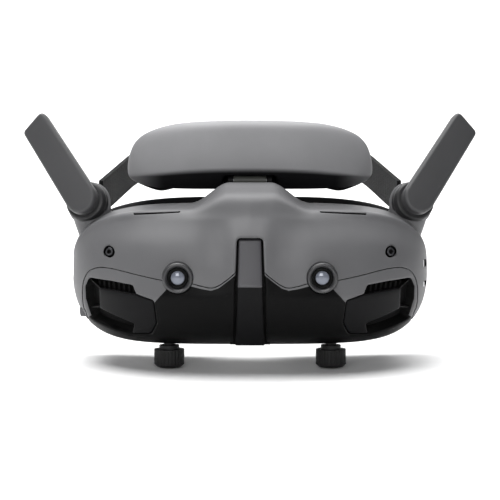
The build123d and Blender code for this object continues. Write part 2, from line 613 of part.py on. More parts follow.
headband = band(band_line, STRAP_T, STRAP_WIDTH)
save("headband", single(headband, "headband"))
lug = block(-86.0, -81.6, 10, STRAP_Y + 9.5, STRAP_Z - 11, STRAP_Z + 6.4)
lug = lug - OUTER - extrude(face_outline(-0.4), 45, dir=(0, 1, 0))
lug = Part(lug.solids().sort_by(Axis.Z)[-1].wrapped)
lug = chamfer(lug.edges().filter_by(Axis.X), 1.0) - headband
save_both("strap_lugs", single(lug, "strap lug"))
strap_run = Spline(*band_line)
tail_line = []
for share in (0.33, 0.35, 0.37, 0.39, 0.41):
    point, along = strap_run @ share, strap_run % share
    tail_line.append((point.X - 2.2 * along.Y, point.Y + 2.2 * along.X))
tail = band(tail_line, 1.6, STRAP_WIDTH - 2)
save_both("strap_tails", single(tail, "strap tail"))
point, along = strap_run @ 0.31, strap_run % 0.31
seat = Pos(point.X, point.Y, STRAP_Z) * Rot(0, 0, -math.degrees(math.atan2(along.X, along.Y)))
buckle = risen(seat * Box(5.8, 9, STRAP_WIDTH + 7) - seat * Box(3.6, 20, STRAP_WIDTH + 1.6))
save_both("strap_buckles", single(buckle, "strap buckle"))
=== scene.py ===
import json
import math

import bpy
import numpy as np
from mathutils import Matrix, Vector


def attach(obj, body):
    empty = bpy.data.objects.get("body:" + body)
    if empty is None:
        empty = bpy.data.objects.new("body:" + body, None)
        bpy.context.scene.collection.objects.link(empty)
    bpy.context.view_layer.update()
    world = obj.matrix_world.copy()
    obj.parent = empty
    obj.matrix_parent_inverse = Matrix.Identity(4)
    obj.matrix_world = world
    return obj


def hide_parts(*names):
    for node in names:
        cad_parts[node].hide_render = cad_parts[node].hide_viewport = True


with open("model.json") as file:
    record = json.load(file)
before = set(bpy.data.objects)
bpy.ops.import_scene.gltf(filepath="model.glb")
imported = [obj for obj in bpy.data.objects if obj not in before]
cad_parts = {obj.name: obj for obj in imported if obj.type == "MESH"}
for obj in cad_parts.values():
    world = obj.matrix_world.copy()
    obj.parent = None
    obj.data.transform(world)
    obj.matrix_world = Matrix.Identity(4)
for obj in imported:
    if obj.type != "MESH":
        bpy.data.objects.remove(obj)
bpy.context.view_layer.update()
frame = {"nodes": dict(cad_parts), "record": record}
nodes = frame["nodes"]
MM = 0.001

# ---------------- casing size, millimetres
HALF_WIDTH, FRONT_DEPTH, TOP, BOTTOM = 97.5, 76.0, 38.5, 36.0
HUMP_HEIGHT, HUMP_FLAT, HUMP_FOOT = 12.6, 11.0, 33.0
REAR_CENTRE, REAR_SWEEP = 2.0, 18.0
SHELL_T = 1.9
GAP = 0.17


# ---------------- mesh tools
def make_object(name, verts, faces, mats=(), slots=None, sharp=38.0, smooth=True):
    mesh = bpy.data.meshes.new(name)
    mesh.from_pydata((np.asarray(verts, float) * MM).tolist(), [], [list(map(int, f)) for f in faces])
    mesh.validate()
    for mat in mats:
        mesh.materials.append(mat)
    if slots is not None and len(slots) == len(mesh.polygons):
        mesh.polygons.foreach_set("material_index", np.asarray(slots, np.int32))
    if smooth:
        mesh.polygons.foreach_set("use_smooth", np.ones(len(mesh.polygons), bool))
        mesh.set_sharp_from_angle(angle=math.radians(sharp))
    obj = bpy.data.objects.new(name, mesh)
    bpy.context.scene.collection.objects.link(obj)
    return obj


def unit(v):
    length = np.linalg.norm(v, axis=-1, keepdims=True)
    return v / np.maximum(length, 1e-12)


def ramp(t):
    t = np.clip(t, 0, 1)
    return t * t * (3 - 2 * t)


def hermite(points, count):
    """A smooth curve through points (batch, k, 2), resampled evenly by length to count points."""
    seg = np.maximum(np.linalg.norm(np.diff(points, axis=1), axis=2), 1e-6)
    slope = np.diff(points, axis=1) / seg[..., None]
    w = seg[:, 1:] / (seg[:, 1:] + seg[:, :-1])
    inner = slope[:, :-1] * w[..., None] + slope[:, 1:] * (1 - w[..., None])
    tangent = np.concatenate([slope[:, :1], inner, slope[:, -1:]], axis=1)
    u = np.linspace(0, 1, 24, endpoint=False)[None, None, :, None]
    p0, p1 = points[:, :-1, None], points[:, 1:, None]
    m0, m1 = tangent[:, :-1, None] * seg[..., None, None], tangent[:, 1:, None] * seg[..., None, None]
    curve = (2 * u**3 - 3 * u**2 + 1) * p0 + (u**3 - 2 * u**2 + u) * m0
    curve = curve + (3 * u**2 - 2 * u**3) * p1 + (u**3 - u**2) * m1
    curve = curve.reshape(len(points), -1, points.shape[2])
    curve = np.concatenate([curve, points[:, -1:]], axis=1)
    step = np.linalg.norm(np.diff(curve, axis=1), axis=2)
    length = np.concatenate([np.zeros((len(points), 1)), np.cumsum(step, axis=1)], axis=1)
    out = []
    for c, s in zip(curve, length):
        t = np.linspace(0, s[-1], count)
        out.append(np.stack([np.interp(t, s, c[:, k]) for k in range(points.shape[2])], axis=1))
    return np.array(out)


def relax(curves, passes, axis=1):
    """Evens out curves along one axis, ends kept."""
    c = np.moveaxis(curves.copy(), axis, 0)
    for _ in range(passes):
        c[1:-1] = 0.5 * c[1:-1] + 0.25 * (c[:-2] + c[2:])
    return np.moveaxis(c, 0, axis)


def grid_faces(rows, cols, flip=False):
    i, j = np.meshgrid(np.arange(rows - 1), np.arange(cols - 1), indexing="ij")
    a = (i * cols + j).ravel()
    b, c, d = a + 1, a + cols + 1, a + cols
    tris = np.concatenate([np.stack([a, b, c], 1), np.stack([a, c, d], 1)])
    return tris[:, ::-1] if flip else tris


def grid_normals(grid):
    du = np.gradient(grid, axis=0)
    dv = np.gradient(grid, axis=1)
    return unit(np.cross(dv, du))


class Surface:
    """A triangle mesh with vertex normals, which can be cut along level lines of a function of position."""

    def __init__(self, verts, normals, tris):
        self.v, self.n, self.t = np.array(verts, float), np.array(normals, float), np.array(tris)

    def insert(self, fn, levels):
        for level in np.atleast_1d(levels):
            f = fn(self.v) - level
            f[np.abs(f) < 2e-3] = 0
            s = np.sign(f)[self.t]
            hit = (s.max(1) > 0) & (s.min(1) < 0)
            if not hit.any():
                continue
            x, sx = self.t[hit], s[hit]
            keep = self.t[~hit]
            pairs = np.concatenate([x[:, [0, 1]], x[:, [1, 2]], x[:, [2, 0]]])
            ps = np.concatenate([sx[:, 0] * sx[:, 1], sx[:, 1] * sx[:, 2], sx[:, 2] * sx[:, 0]])
            edges = np.sort(pairs[ps < 0], axis=1)
            uniq, inv = np.unique(edges, axis=0, return_inverse=True)
            a, b = uniq[:, 0], uniq[:, 1]
            t = (f[a] / (f[a] - f[b]))[:, None]
            ids = np.full(len(pairs), -1)
            ids[ps < 0] = inv.ravel() + len(self.v)
            mid = ids.reshape(3, -1).T
            self.v = np.concatenate([self.v, self.v[a] + (self.v[b] - self.v[a]) * t])
            self.n = unit(np.concatenate([self.n, self.n[a] + (self.n[b] - self.n[a]) * t]))
            new = []
            for k in range(3):
                p, q, r = x[:, k], x[:, (k + 1) % 3], x[:, (k + 2) % 3]
                sp, sq, sr = sx[:, k], sx[:, (k + 1) % 3], sx[:, (k + 2) % 3]
                zero = (sp == 0) & (sq * sr < 0)
                m = mid[:, (k + 1) % 3]
                new += [np.stack([p, q, m], 1)[zero], np.stack([p, m, r], 1)[zero]]
                lone = (sp * sq < 0) & (sp * sr < 0)
                m1, m2 = mid[:, k], mid[:, (k + 2) % 3]
                new += [np.stack(corners, 1)[lone] for corners in ([p, m1, m2], [m1, q, r], [m1, r, m2])]
            self.t = np.concatenate([keep] + new)
        return self

    def part(self, mask_fn):
        """The triangles whose middles pass a test."""
        centre = self.v[self.t].mean(1)
        tris = self.t[mask_fn(centre)]
        used, inv = np.unique(tris, return_inverse=True)
        return Surface(self.v[used], self.n[used], inv.reshape(-1, 3))

    def sink(self, amount):
        """Moves vertices inward by an amount each."""
        self.v = self.v - self.n * np.asarray(amount)[:, None]
        return self

    def solid(self, thickness):
        """Vertices and faces of the closed layer of that thickness behind the surface."""
        count = len(self.v)
        verts = np.concatenate([self.v, self.v - self.n * thickness])
        edges = np.concatenate([self.t[:, [0, 1]], self.t[:, [1, 2]], self.t[:, [2, 0]]])
        key = np.sort(edges, axis=1)
        _, inv, counts = np.unique(key, axis=0, return_inverse=True, return_counts=True)
        rim = edges[counts[inv.ravel()] == 1]
        faces = [list(f) for f in self.t] + [list(f) for f in self.t[:, ::-1] + count]
        faces += [[b, a, a + count, b + count] for a, b in rim]
        return verts, faces


def rolled(d, radius):
    """How far a rounded edge sinks at a distance from the edge."""
    e = np.clip(radius - d, 0, radius)
    return radius - np.sqrt(np.maximum(radius**2 - e**2, 0))


def roll_levels(gap, radius):
    return [gap + radius * k for k in (0.0, 0.06, 0.2, 0.42, 0.7, 1.0)]


def mirror_x(verts, faces):
    return np.asarray(verts) * [-1, 1, 1], [list(f)[::-1] for f in faces]


def join(*parts):
    verts, faces, base = [], [], 0
    for v, f in parts:
        verts.append(np.asarray(v, float))
        faces += [[int(i) + base for i in face] for face in f]
        base += len(v)
    return np.concatenate(verts), faces


def both(part):
    return join(part, mirror_x(*part))


# ---------------- outlines in the front view (x, z)
def curve_through(points, per=10, closed=False):
    p = np.array(points, float)
    if closed:
        p = np.concatenate([p[-1:], p, p[:2]])
    else:
        p = np.concatenate([2 * p[:1] - p[1:2], p, 2 * p[-1:] - p[-2:-1]])
    out = []
    for i in range(1, len(p) - 2):
        u = np.linspace(0, 1, per, endpoint=False)[:, None]
        a, b, c, d = p[i - 1], p[i], p[i + 1], p[i + 2]
        square, cube = 2 * a - 5 * b + 4 * c - d, 3 * b - a - 3 * c + d
        out.append(0.5 * (2 * b + (c - a) * u + square * u**2 + cube * u**3))
    if not closed:
        out.append(p[-2:-1])
    return np.concatenate(out)


def rounded(points, radius, per=6):
    """A closed outline with its corners rounded; radius is one number or one a corner."""
    p = np.array(points, float)
    r = np.broadcast_to(radius, len(p))
    out = []
    for i in range(len(p)):
        a, b, c = p[i - 1], p[i], p[(i + 1) % len(p)]
        u, w = (a - b), (c - b)
        lu, lw = np.linalg.norm(u), np.linalg.norm(w)
        u, w = u / lu, w / lw
        half = math.acos(np.clip(u @ w, -1, 1)) / 2
        cut = min(r[i] / math.tan(half), 0.48 * lu, 0.48 * lw)
        for t in np.linspace(0, 1, per):
            out.append((1 - t) ** 2 * (b + u * cut) + 2 * t * (1 - t) * b + t**2 * (b + w * cut))
    return np.array(out)


def distance_to(outline):
    """A function of position: distance to a closed outline in the front view, negative inside it."""
    a = np.asarray(outline, float)
    b = np.roll(a, -1, axis=0)

    def fn(v):
        p = np.stack([v[:, 0], v[:, 2]], 1)
        best = np.full(len(p), 1e9)
        inside = np.zeros(len(p), bool)
        for s, e in zip(a, b):
            d = e - s
            t = np.clip(((p - s) @ d) / max(d @ d, 1e-12), 0, 1)
            best = np.minimum(best, ((p - s - t[:, None] * d) ** 2).sum(1))
            if s[1] != e[1]:
                cross = (s[1] > p[:, 1]) != (e[1] > p[:, 1])
                inside ^= cross & (p[:, 0] < s[0] + (p[:, 1] - s[1]) * (e[0] - s[0]) / (e[1] - s[1]))
        best = np.sqrt(best)
        return np.where(inside, -best, best)

    return fn


def sided(fn):
    """The same function on both halves, from an outline on the wearer's-right half."""
    return lambda v: fn(np.stack([-np.abs(v[:, 0]), v[:, 1], v[:, 2]], 1))


# ---------------- casing form
def share(x):
    return np.minimum(1.0, np.abs(x) / HALF_WIDTH)


def section(x, count=190):
    """Side-view outlines of the casing at stations x, from the rear top edge to the rear bottom edge."""
    x = np.asarray(x, float)
    s = share(x)
    d = FRONT_DEPTH * np.sqrt(1 - s**2.6)
    top = TOP * np.maximum(1 - s**4.3, 0) ** 0.345
    low = BOTTOM * np.sqrt(1 - s**6.6)
    h = HUMP_HEIGHT * ramp((HUMP_FOOT - np.abs(x)) / (HUMP_FOOT - HUMP_FLAT))
    back = REAR_CENTRE + REAR_SWEEP * (x / 97.0) ** 2
    kt, kl = top / TOP, low / BOTTOM
    cy = -(0.80 - 0.10 * np.clip(np.abs(x) / 74, 0, 1.2)) * d
    ridge = np.exp(-((np.abs(x) / 11.5) ** 5))
    dent = np.exp(-(((np.abs(x) - 21) / 8.0) ** 2))
    upper = np.stack([
        np.stack([back, top - 1.5 * kt + 0.3 * h], 1),
        np.stack([-0.14 * d, top + 0.72 * h], 1),
        np.stack([-0.40 * d, top - 0.7 * kt + 0.99 * h], 1),
        np.stack([-0.50 * d, top - 1.5 * kt + 0.93 * h], 1),
        np.stack([0.52 * cy - 0.32 * d, 0.945 * top + 0.50 * h], 1),
        np.stack([0.90 * cy - 0.064 * d, 0.888 * top + 0.11 * h], 1),
        np.stack([cy, 0.87 * top + 0.02 * h], 1)], 1)
    crease = -7.6 + 3.2 * np.exp(-((x / 14) ** 2)) + 3.0 * ramp((np.abs(x) - 66) / 30)
    crease = np.maximum(crease, -0.5 * low)
    front = np.stack([
        np.stack([cy, 0.87 * top + 0.02 * h], 1),
        np.stack([0.84 * cy - 0.143 * d - 0.9 * ridge + 0.45 * dent, 0.81 * top + 0 * x], 1),
        np.stack([-0.895 * d - 2.6 * ridge + 1.9 * dent, 0.50 * top + 0 * x], 1),
        np.stack([-0.972 * d - 1.0 * ridge + 0.8 * dent, 0.16 * top + 0 * x], 1),
        np.stack([-d, crease], 1)], 1)
    under = np.stack([
        np.stack([-d, crease], 1),
        np.stack([-0.93 * d, -0.50 * low], 1),
        np.stack([-0.80 * d, -0.80 * low], 1),
        np.stack([-0.62 * d, -0.955 * low], 1),
        np.stack([-0.34 * d, -low], 1),
        np.stack([back, -low + 1.0 * kl], 1)], 1)
    n1, n2 = int(count * 0.36), int(count * 0.30)
    n3 = count - n1 - n2
    a, b, c = hermite(upper, n1), hermite(front, n2 + 1)[:, 1:], hermite(under, n3 + 1)[:, 1:]
    line = np.concatenate([a, b, c], axis=1)
    line = relax(line, 4)
    return np.concatenate([np.broadcast_to(x[:, None, None], line.shape[:2] + (1,)), line], axis=2)


stations = HALF_WIDTH * np.sin(np.linspace(-1, 1, 251) * math.pi / 2)
casing_grid = section(stations)
casing_normals = grid_normals(casing_grid)
outward = (casing_normals * (casing_grid - np.array([0, -20, 0]))).sum(2).mean()
if outward < 0:
    casing_normals = -casing_normals
casing_normals[0], casing_normals[-1] = [-1, 0, 0], [1, 0, 0]


def front_at(x, z):
    """Points and normals on the casing's front at front-view places (x, z)."""
    x, z = np.asarray(x, float), np.asarray(z, float)

    def place(px, pz):
        lines = section(px)
        out = np.empty((len(px), 3))
        for i, (line, height) in enumerate(zip(lines, pz)):
            first = int(len(line) * 0.22)
            run = line[first:]
            above = run[:, 2] >= height
            k = np.argmax(~above) if (~above).any() else len(run) - 1
            k = max(k, 1)
            t = (run[k - 1, 2] - height) / max(run[k - 1, 2] - run[k, 2], 1e-9)
            out[i] = run[k - 1] + (run[k] - run[k - 1]) * np.clip(t, 0, 1)
        return out

    p = place(x, z)
    along_x = place(x + 0.4, z) - place(x - 0.4, z)
    along_z = place(x, z + 0.4) - place(x, z - 0.4)
    n = unit(np.cross(along_x, along_z))
    return p, np.where((n[:, 1] > 0)[:, None], -n, n)


def behind_front(outline, depth):
    """An outline laid on the casing's front and sunk by a depth."""
    p, n = front_at(outline[:, 0], outline[:, 1])
    return p - n * depth, n


SEAM_HALF = [(7.4, 6.4), (10.2, 3.9), (12.9, 1.8), (16.2, -0.5), (20.2, -1.8), (25.6, -0.9), (29.9, 0.2)]
SEAM_HALF += [(38.0, 1.0), (47.2, 1.9), (53.2, 2.9), (59.9, 4.1), (66.7, 5.4), (73.4, 6.4), (79.5, 6.5)]
SEAM_HALF += [(83.9, 5.2), (86.6, 3.3), (88.7, 0.0), (90.0, -4.5), (90.5, -10.5), (90.0, -17.0)]
SEAM_HALF += [(88.0, -24.0), (85.0, -60.0)]
half_line = curve_through(SEAM_HALF, 6)
seam_line = np.concatenate([half_line, (half_line * [-1, 1])[::-1]])
seam = distance_to(seam_line)

DUCT_CORNERS = [(-87.0, 0.4), (-74.0, 0.0), (-62.0, -1.4), (-60.2, -5.9), (-50.6, -9.2), (-49.2, -22.0)]
DUCT_CORNERS += [(-52.5, -29.0), (-63.6, -29.8), (-71.1, -27.8), (-86.0, -22.9), (-89.3, -12.0)]
DUCT_CORNERS += [(-89.4, -5.0)]
DUCT = rounded(DUCT_CORNERS, [3.2, 8, 1.6, 0.4, 1.8, 3, 3, 3, 6, 3.5, 5, 3])
PANEL_CORNERS = [(-80.9, -4.2), (-70.4, -4.9), (-60.3, -6.3), (-50.9, -9.6), (-49.5, -22.0)]
PANEL_CORNERS += [(-52.7, -28.6), (-62.9, -29.3), (-61.7, -23.1), (-72.1, -19.3), (-80.9, -15.9)]
PANEL = rounded(PANEL_CORNERS, [1.6, 6, 3, 1.6, 3, 3, 0.4, 0.5, 6, 1.8])
BAR_SLOT = rounded([(-7.1, 24.2), (7.1, 24.2), (8.9, -35.5), (-8.9, -35.5)], [2.8, 2.8, 1, 1])
duct = sided(distance_to(DUCT))
bar_slot = distance_to(BAR_SLOT)


CAMERA_X, CAMERA_Z = 37.8, 3.2
SCREW_X, SCREW_Z = 75.0, 15.1


def camera_hole(v):
    return np.hypot(np.abs(v[:, 0]) - CAMERA_X, v[:, 2] - CAMERA_Z) - 8.1


def screw_hole(v):
    return np.hypot(np.abs(v[:, 0]) - SCREW_X, v[:, 2] - SCREW_Z) - 3.0


VENT = rounded([(-62.0, 34.3), (-37.2, 36.15), (-37.0, 36.75), (-62.2, 35.2)], [0.2, 0.2, 0.2, 0.2], 4)
vent_all = sided(distance_to(VENT))
FAR = 50.0


def vent(v):
    """Distance to a slit, which stays clear of the top deck behind the brow."""
    return np.where(v[:, 1] < -30, vent_all(v), FAR)


def on_front(v):
    return v[:, 1] < -12


def near_only(fn):
    """A front feature doesn't reach the parts of the casing behind it."""
    return lambda v: np.where(on_front(v), fn(v), FAR)


def knob_slot(v):
    across = np.maximum(np.abs(np.abs(v[:, 0]) - 43.5) - 4.0, 0)
    return np.where(v[:, 2] < -15, np.hypot(across, v[:, 1] + 35.0) - 3.6, FAR)


def flank_box(side, y, z, half_y, half_z, corner):
    """Distance to a rounded opening in one flank of the casing."""
    def fn(v):
        a, b = np.abs(v[:, 1] - y) - half_y + corner, np.abs(v[:, 2] - z) - half_z + corner
        d = np.hypot(np.maximum(a, 0), np.maximum(b, 0)) + np.minimum(np.maximum(a, b), 0) - corner
        return np.where(v[:, 0] * side > 60, d, FAR)
    return fn


POWER_Y, LINK_Y = -20.4, -13.0
FLANK = [flank_box(-1, POWER_Y, -20.5, 3.2, 2.6, 1.2), flank_box(-1, LINK_Y, -20.5, 2.2, 2.6, 1.2)]
FLANK += [flank_box(1, -16.5, 6.0, 4.9, 2.0, 1.9), flank_box(1, -16.5, -5.0, 6.2, 1.3, 0.6)]
FLANK += [flank_box(-1, -2.0, 3.0, 9.9, 7.9, 7.8)]
FRONT = [(duct, 1.0), (bar_slot, 0.9), (camera_hole, 0.5), (screw_hole, 0.7), (vent, 0.35)]
FEATURES = [(knob_slot, 0.4)] + [(fn, 0.3) for fn in FLANK]
FEATURES += [(near_only(fn), radius) for fn, radius in FRONT]
NOSE_LINE = rounded([(-8.5, -12), (8.5, -12), (22, -48), (-22, -48)], [7, 7, 1, 1])
nose_outline = distance_to(NOSE_LINE)


def nose(v):
    return np.maximum(nose_outline(v), -28 - v[:, 1])


def casing_surface():
    """The whole casing as one surface, its triangles turned to face outward."""
    rows, cols = casing_grid.shape[:2]
    whole = Surface(casing_grid.reshape(-1, 3), casing_normals.reshape(-1, 3), grid_faces(rows, cols))
    tri = whole.v[whole.t]
    facing = (np.cross(tri[:, 1] - tri[:, 0], tri[:, 2] - tri[:, 0]) * whole.n[whole.t].mean(1)).sum(1)
    if np.median(facing) < 0:
        whole.t = whole.t[:, ::-1]
    return whole


body = casing_surface()
for feature, radius in FEATURES:
    body.insert(feature, roll_levels(0.0, radius))
body.insert(nose, roll_levels(0.0, 1.5))
body.insert(seam, sorted([-g for g in roll_levels(GAP, 0.45)] + roll_levels(GAP, 0.45)))
cuts = [f for f, _ in FEATURES] + [nose]
body = body.part(lambda c: np.min([f(c) for f in cuts], axis=0) > 0)
sunk = np.zeros(len(body.v))
for feature, radius in FEATURES + [(nose, 1.5)]:
    sunk = np.maximum(sunk, rolled(np.maximum(feature(body.v), 0), radius))
sunk = np.maximum(sunk, rolled(np.maximum(np.abs(seam(body.v)) - GAP, 0), 0.45))
body.sink(sunk)
upper = body.part(lambda c: seam(c) > GAP)
lower = body.part(lambda c: seam(c) < -GAP)

# ---------------- materials
def feed(tree, socket, value):
    """Links an input to another node's output, or sets its constant."""
    if isinstance(value, bpy.types.NodeSocket):
        tree.links.new(value, socket)
    else:
        socket.default_value = value


def put(tree, node, **values):
    """Sets a node's inputs and settings by name; an underscore stands for a space in an input's name."""
    for key, value in values.items():
        spaced = key.replace("_", " ")
        if spaced in node.inputs:
            feed(tree, node.inputs[spaced], value)
        else:
            setattr(node, key, value)
    return node


def add(tree, kind, **values):
    return put(tree, tree.nodes.new("ShaderNode" + kind), **values)


def noise(tree, where, **values):
    return add(tree, "TexNoise", Vector=where, **values).outputs["Fac"]


def maths(tree, operation, *values):
    node = add(tree, "Math", operation=operation)
    for socket, value in zip(node.inputs, values):
        feed(tree, socket, value)
    return node.outputs[0]


def spread_over(tree, value, low, high, **values):
    """A value mapped to run from low to high."""
    return add(tree, "MapRange", Value=value, To_Min=low, To_Max=high, **values).outputs["Result"]


def bumped(tree, height, strength, distance, **values):
    """A bump of a depth in millimetres."""
    bump = add(tree, "Bump", Strength=strength, Distance=distance * MM, Height=height, **values)
    return bump.outputs["Normal"]


def bevelled(tree, radius):
    return add(tree, "Bevel", Radius=radius * MM, samples=4).outputs["Normal"]


def shader(name):
    mat = bpy.data.materials.new(name)
    mat.use_nodes = True
    tree = mat.node_tree
    return mat, tree, tree.nodes["Principled BSDF"], add(tree, "TexCoord").outputs["Object"]


def tinted(tree, low, high, factor):
    """A colour between two, by a factor."""
    node = add(tree, "ValToRGB")
    for element, colour, position in zip(node.color_ramp.elements, (low, high), (0.3, 0.7)):
        element.color = (*colour, 1)
        element.position = position
    tree.links.new(factor, node.inputs[0])
    return node.outputs[0]


def scaled(base, factor, lift=0.0):
    return tuple(min(1, c * factor + lift) for c in base)


def plastic(name, base, rough, grain=0.28, depth=0.035, specular=0.5, round_edges=0.0):
    """Moulded plastic: a fine spark-eroded grain, and a slow drift in tone and sheen."""
    vary, spread = 0.05, 0.05
    mat, tree, bsdf, where = shader(name)
    slow = noise(tree, where, Scale=38.0, Detail=3.0, Roughness=0.55)
    fine = noise(tree, where, Scale=1.0 / (grain * MM), Detail=2.0, Roughness=0.6)
    cells = add(tree, "TexVoronoi", Vector=where, Scale=0.62 / (grain * MM)).outputs["Distance"]
    mottle = maths(tree, "ADD", maths(tree, "MULTIPLY", fine, 0.35), slow)
    edge = {"Normal": bevelled(tree, round_edges)} if round_edges else {}
    put(tree, bsdf, Base_Color=tinted(tree, scaled(base, 1 - vary), scaled(base, 1 + vary), slow),
        Roughness=spread_over(tree, mottle, rough - spread, rough + spread, From_Max=1.35),
        Normal=bumped(tree, maths(tree, "ADD", fine, cells), 0.5, depth, **edge), Specular_IOR_Level=specular)
    return mat


def metal(name, base, rough, turned=True):
    """Machined metal with fine tool marks."""
    mat, tree, bsdf, where = shader(name)
    stretch = add(tree, "Mapping", Vector=where, Scale=(1, 14, 14) if turned else (1, 1, 1)).outputs[0]
    marks = noise(tree, stretch, Scale=420.0, Detail=4.0)
    put(tree, bsdf, Base_Color=tinted(tree, scaled(base, 0.82), base, marks), Metallic=1.0,
        Roughness=spread_over(tree, marks, rough - 0.08, rough + 0.1),
        Normal=bumped(tree, marks, 0.3, 0.01, Normal=bevelled(tree, 0.2)))
    return mat


def weave(name, base, pitch, depth=0.25):
    """Woven tape: warp and weft threads crossing under and over, with fuzz."""
    mat, tree, bsdf, where = shader(name)
    per = 1.0 / (pitch * MM)
    warp, weft = [
        add(tree, "TexWave", Vector=where, Scale=per / 3.1, Distortion=0.4, wave_type="BANDS",
            bands_direction=direction).outputs["Fac"] for direction in ("Z", "DIAGONAL")]
    check = add(tree, "TexChecker", Vector=where, Scale=per).outputs["Fac"]
    fuzz = noise(tree, where, Scale=4.0 * per, Detail=3.0)
    pick = add(tree, "Mix", data_type="FLOAT", Factor=check)
    tree.links.new(warp, pick.inputs[2])
    tree.links.new(weft, pick.inputs[3])
    total = maths(tree, "MULTIPLY_ADD", fuzz, 0.35, pick.outputs[0])
    put(tree, bsdf, Base_Color=tinted(tree, scaled(base, 0.45), scaled(base, 1.35), total),
        Normal=bumped(tree, total, 0.8, depth), Roughness=0.86, Specular_IOR_Level=0.12,
        Sheen_Weight=0.03, Sheen_Roughness=0.5)
    return mat


def knit(name, base, pitch=0.55, depth=0.12):
    """Soft knitted face cloth over foam: a fine loop pattern and low slow swells."""
    mat, tree, bsdf, where = shader(name)
    loops = add(tree, "TexVoronoi", Vector=where, Scale=1 / (pitch * MM), Randomness=0.35).outputs["Distance"]
    fuzz = noise(tree, where, Scale=4 / (pitch * MM), Detail=3.0)
    swell = noise(tree, where, Scale=70.0, Detail=2.0)
    total = maths(tree, "MULTIPLY_ADD", fuzz, 0.4, loops)
    put(tree, bsdf, Base_Color=tinted(tree, scaled(base, 0.6), scaled(base, 1.5), total),
        Normal=bumped(tree, total, 0.7, depth, Normal=bumped(tree, swell, 0.35, 0.8)),
        Roughness=0.92, Specular_IOR_Level=0.12, Sheen_Weight=0.04)
    return mat


def glass_with_painted_reflection(name, tint, clear, rim=None):
    """Glass with a bluish coating, its colour one tone seen straight on and another at its rim: a painted
    reflection, lighter at the rim unless a rim tone is given.
    """
    mat, tree, bsdf, where = shader(name)
    facing = add(tree, "LayerWeight", Blend=0.35).outputs["Facing"]
    put(tree, bsdf, Base_Color=tinted(tree, tint, rim or scaled(tint, 2.2, 0.02), facing),
        Roughness=spread_over(tree, noise(tree, where, Scale=160.0, Detail=4.0), 0.02, 0.07),
        Transmission_Weight=clear, IOR=1.52, Coat_Weight=0.6, Coat_Tint=(0.7, 0.8, 1.0, 1))
    return mat


def board(name):
    """Circuit board: solder mask over a maze of fine tracks and scattered pads."""
    mat, tree, bsdf, where = shader(name)
    turn = add(tree, "Mapping", Vector=where, Rotation=(math.pi / 2, 0, 0)).outputs[0]
    brick = add(tree, "TexBrick", Vector=turn, Scale=420.0, Color1=(0.012, 0.07, 0.035, 1),
                Color2=(0.016, 0.09, 0.045, 1), Mortar=(0.03, 0.14, 0.07, 1), Mortar_Size=0.06)
    cell = add(tree, "TexVoronoi", Vector=turn, Scale=260.0, distance="CHEBYCHEV").outputs["Distance"]
    spot = maths(tree, "LESS_THAN", cell, 0.12)
    mix = add(tree, "Mix", data_type="RGBA", Factor=spot)
    feed(tree, mix.inputs[6], brick.outputs["Color"])
    feed(tree, mix.inputs[7], (0.7, 0.6, 0.4, 1))
    put(tree, bsdf, Base_Color=mix.outputs[2], Metallic=spot, Roughness=0.35,
        Normal=bumped(tree, spot, 0.4, 0.05))
    return mat


def grey_with_painted_shade(source, shade_colour):
    """The grey plastic with painted shade: near black under the forehead unit's fold, where its face turns
    down into shadow, except at its two ends.
    """
    mat = source.copy()
    mat.name = "forehead_grey_painted_shade"
    tree = mat.node_tree
    bsdf = tree.nodes["Principled BSDF"]
    split = add(tree, "SeparateXYZ", Vector=add(tree, "TexCoord").outputs["Object"])
    side = maths(tree, "ABSOLUTE", split.outputs["X"])
    curve = maths(tree, "POWER", maths(tree, "DIVIDE", side, 0.063), 2.5)
    height = maths(tree, "ADD", split.outputs["Z"], maths(tree, "MULTIPLY", curve, 0.0042))
    smooth = {"interpolation_type": "SMOOTHSTEP"}
    # Painted shade: below the fold line the colour turns near black and the specular drops.
    above = spread_over(tree, height, 0.0, 1.0, From_Min=0.0548, From_Max=0.0576, **smooth)
    ends = spread_over(tree, side, 0.0, 1.0, From_Min=0.046, From_Max=0.068, **smooth)
    light = maths(tree, "MAXIMUM", above, maths(tree, "MULTIPLY", ends, 0.75))
    mix = add(tree, "Mix", data_type="RGBA", Factor=light)
    feed(tree, mix.inputs[6], (*shade_colour, 1))
    feed(tree, mix.inputs[7], bsdf.inputs["Base Color"].links[0].from_socket)
    put(tree, bsdf, Base_Color=mix.outputs[2], Specular_IOR_Level=maths(tree, "MULTIPLY", light, 0.4))
    return mat


GREY = plastic("shell_grey", (0.108, 0.108, 0.112), 0.48, specular=0.3)
# Near black as painted shade: the lower shell where it faces down, and the shells' inner faces and cut rims.
SHELL_SHADE_BLACK = plastic("shell_dark", (0.0028, 0.0028, 0.0029), 0.4, depth=0.03, specular=0.07)
PANEL_BLACK = plastic("panel_black", (0.0055, 0.0055, 0.006), 0.42, round_edges=0.25, specular=0.08)
AERIAL_DARK = plastic("antenna_socket", (0.020, 0.020, 0.021), 0.4, depth=0.02, specular=0.3)
SCREW = metal("screw_head", (0.16, 0.16, 0.17), 0.3, turned=False)
# Near black: the black of the camera barrels, and painted shade in the seam's gap, the intakes' depths, the
# bar's groove and the screw wells.
RECESS_BLACK_AND_SHADE = plastic("recess_black_and_shade", (0.004, 0.004, 0.004), 0.6, specular=0.1)
BAR = plastic("bar_dark", (0.056, 0.055, 0.060), 0.42, depth=0.02)
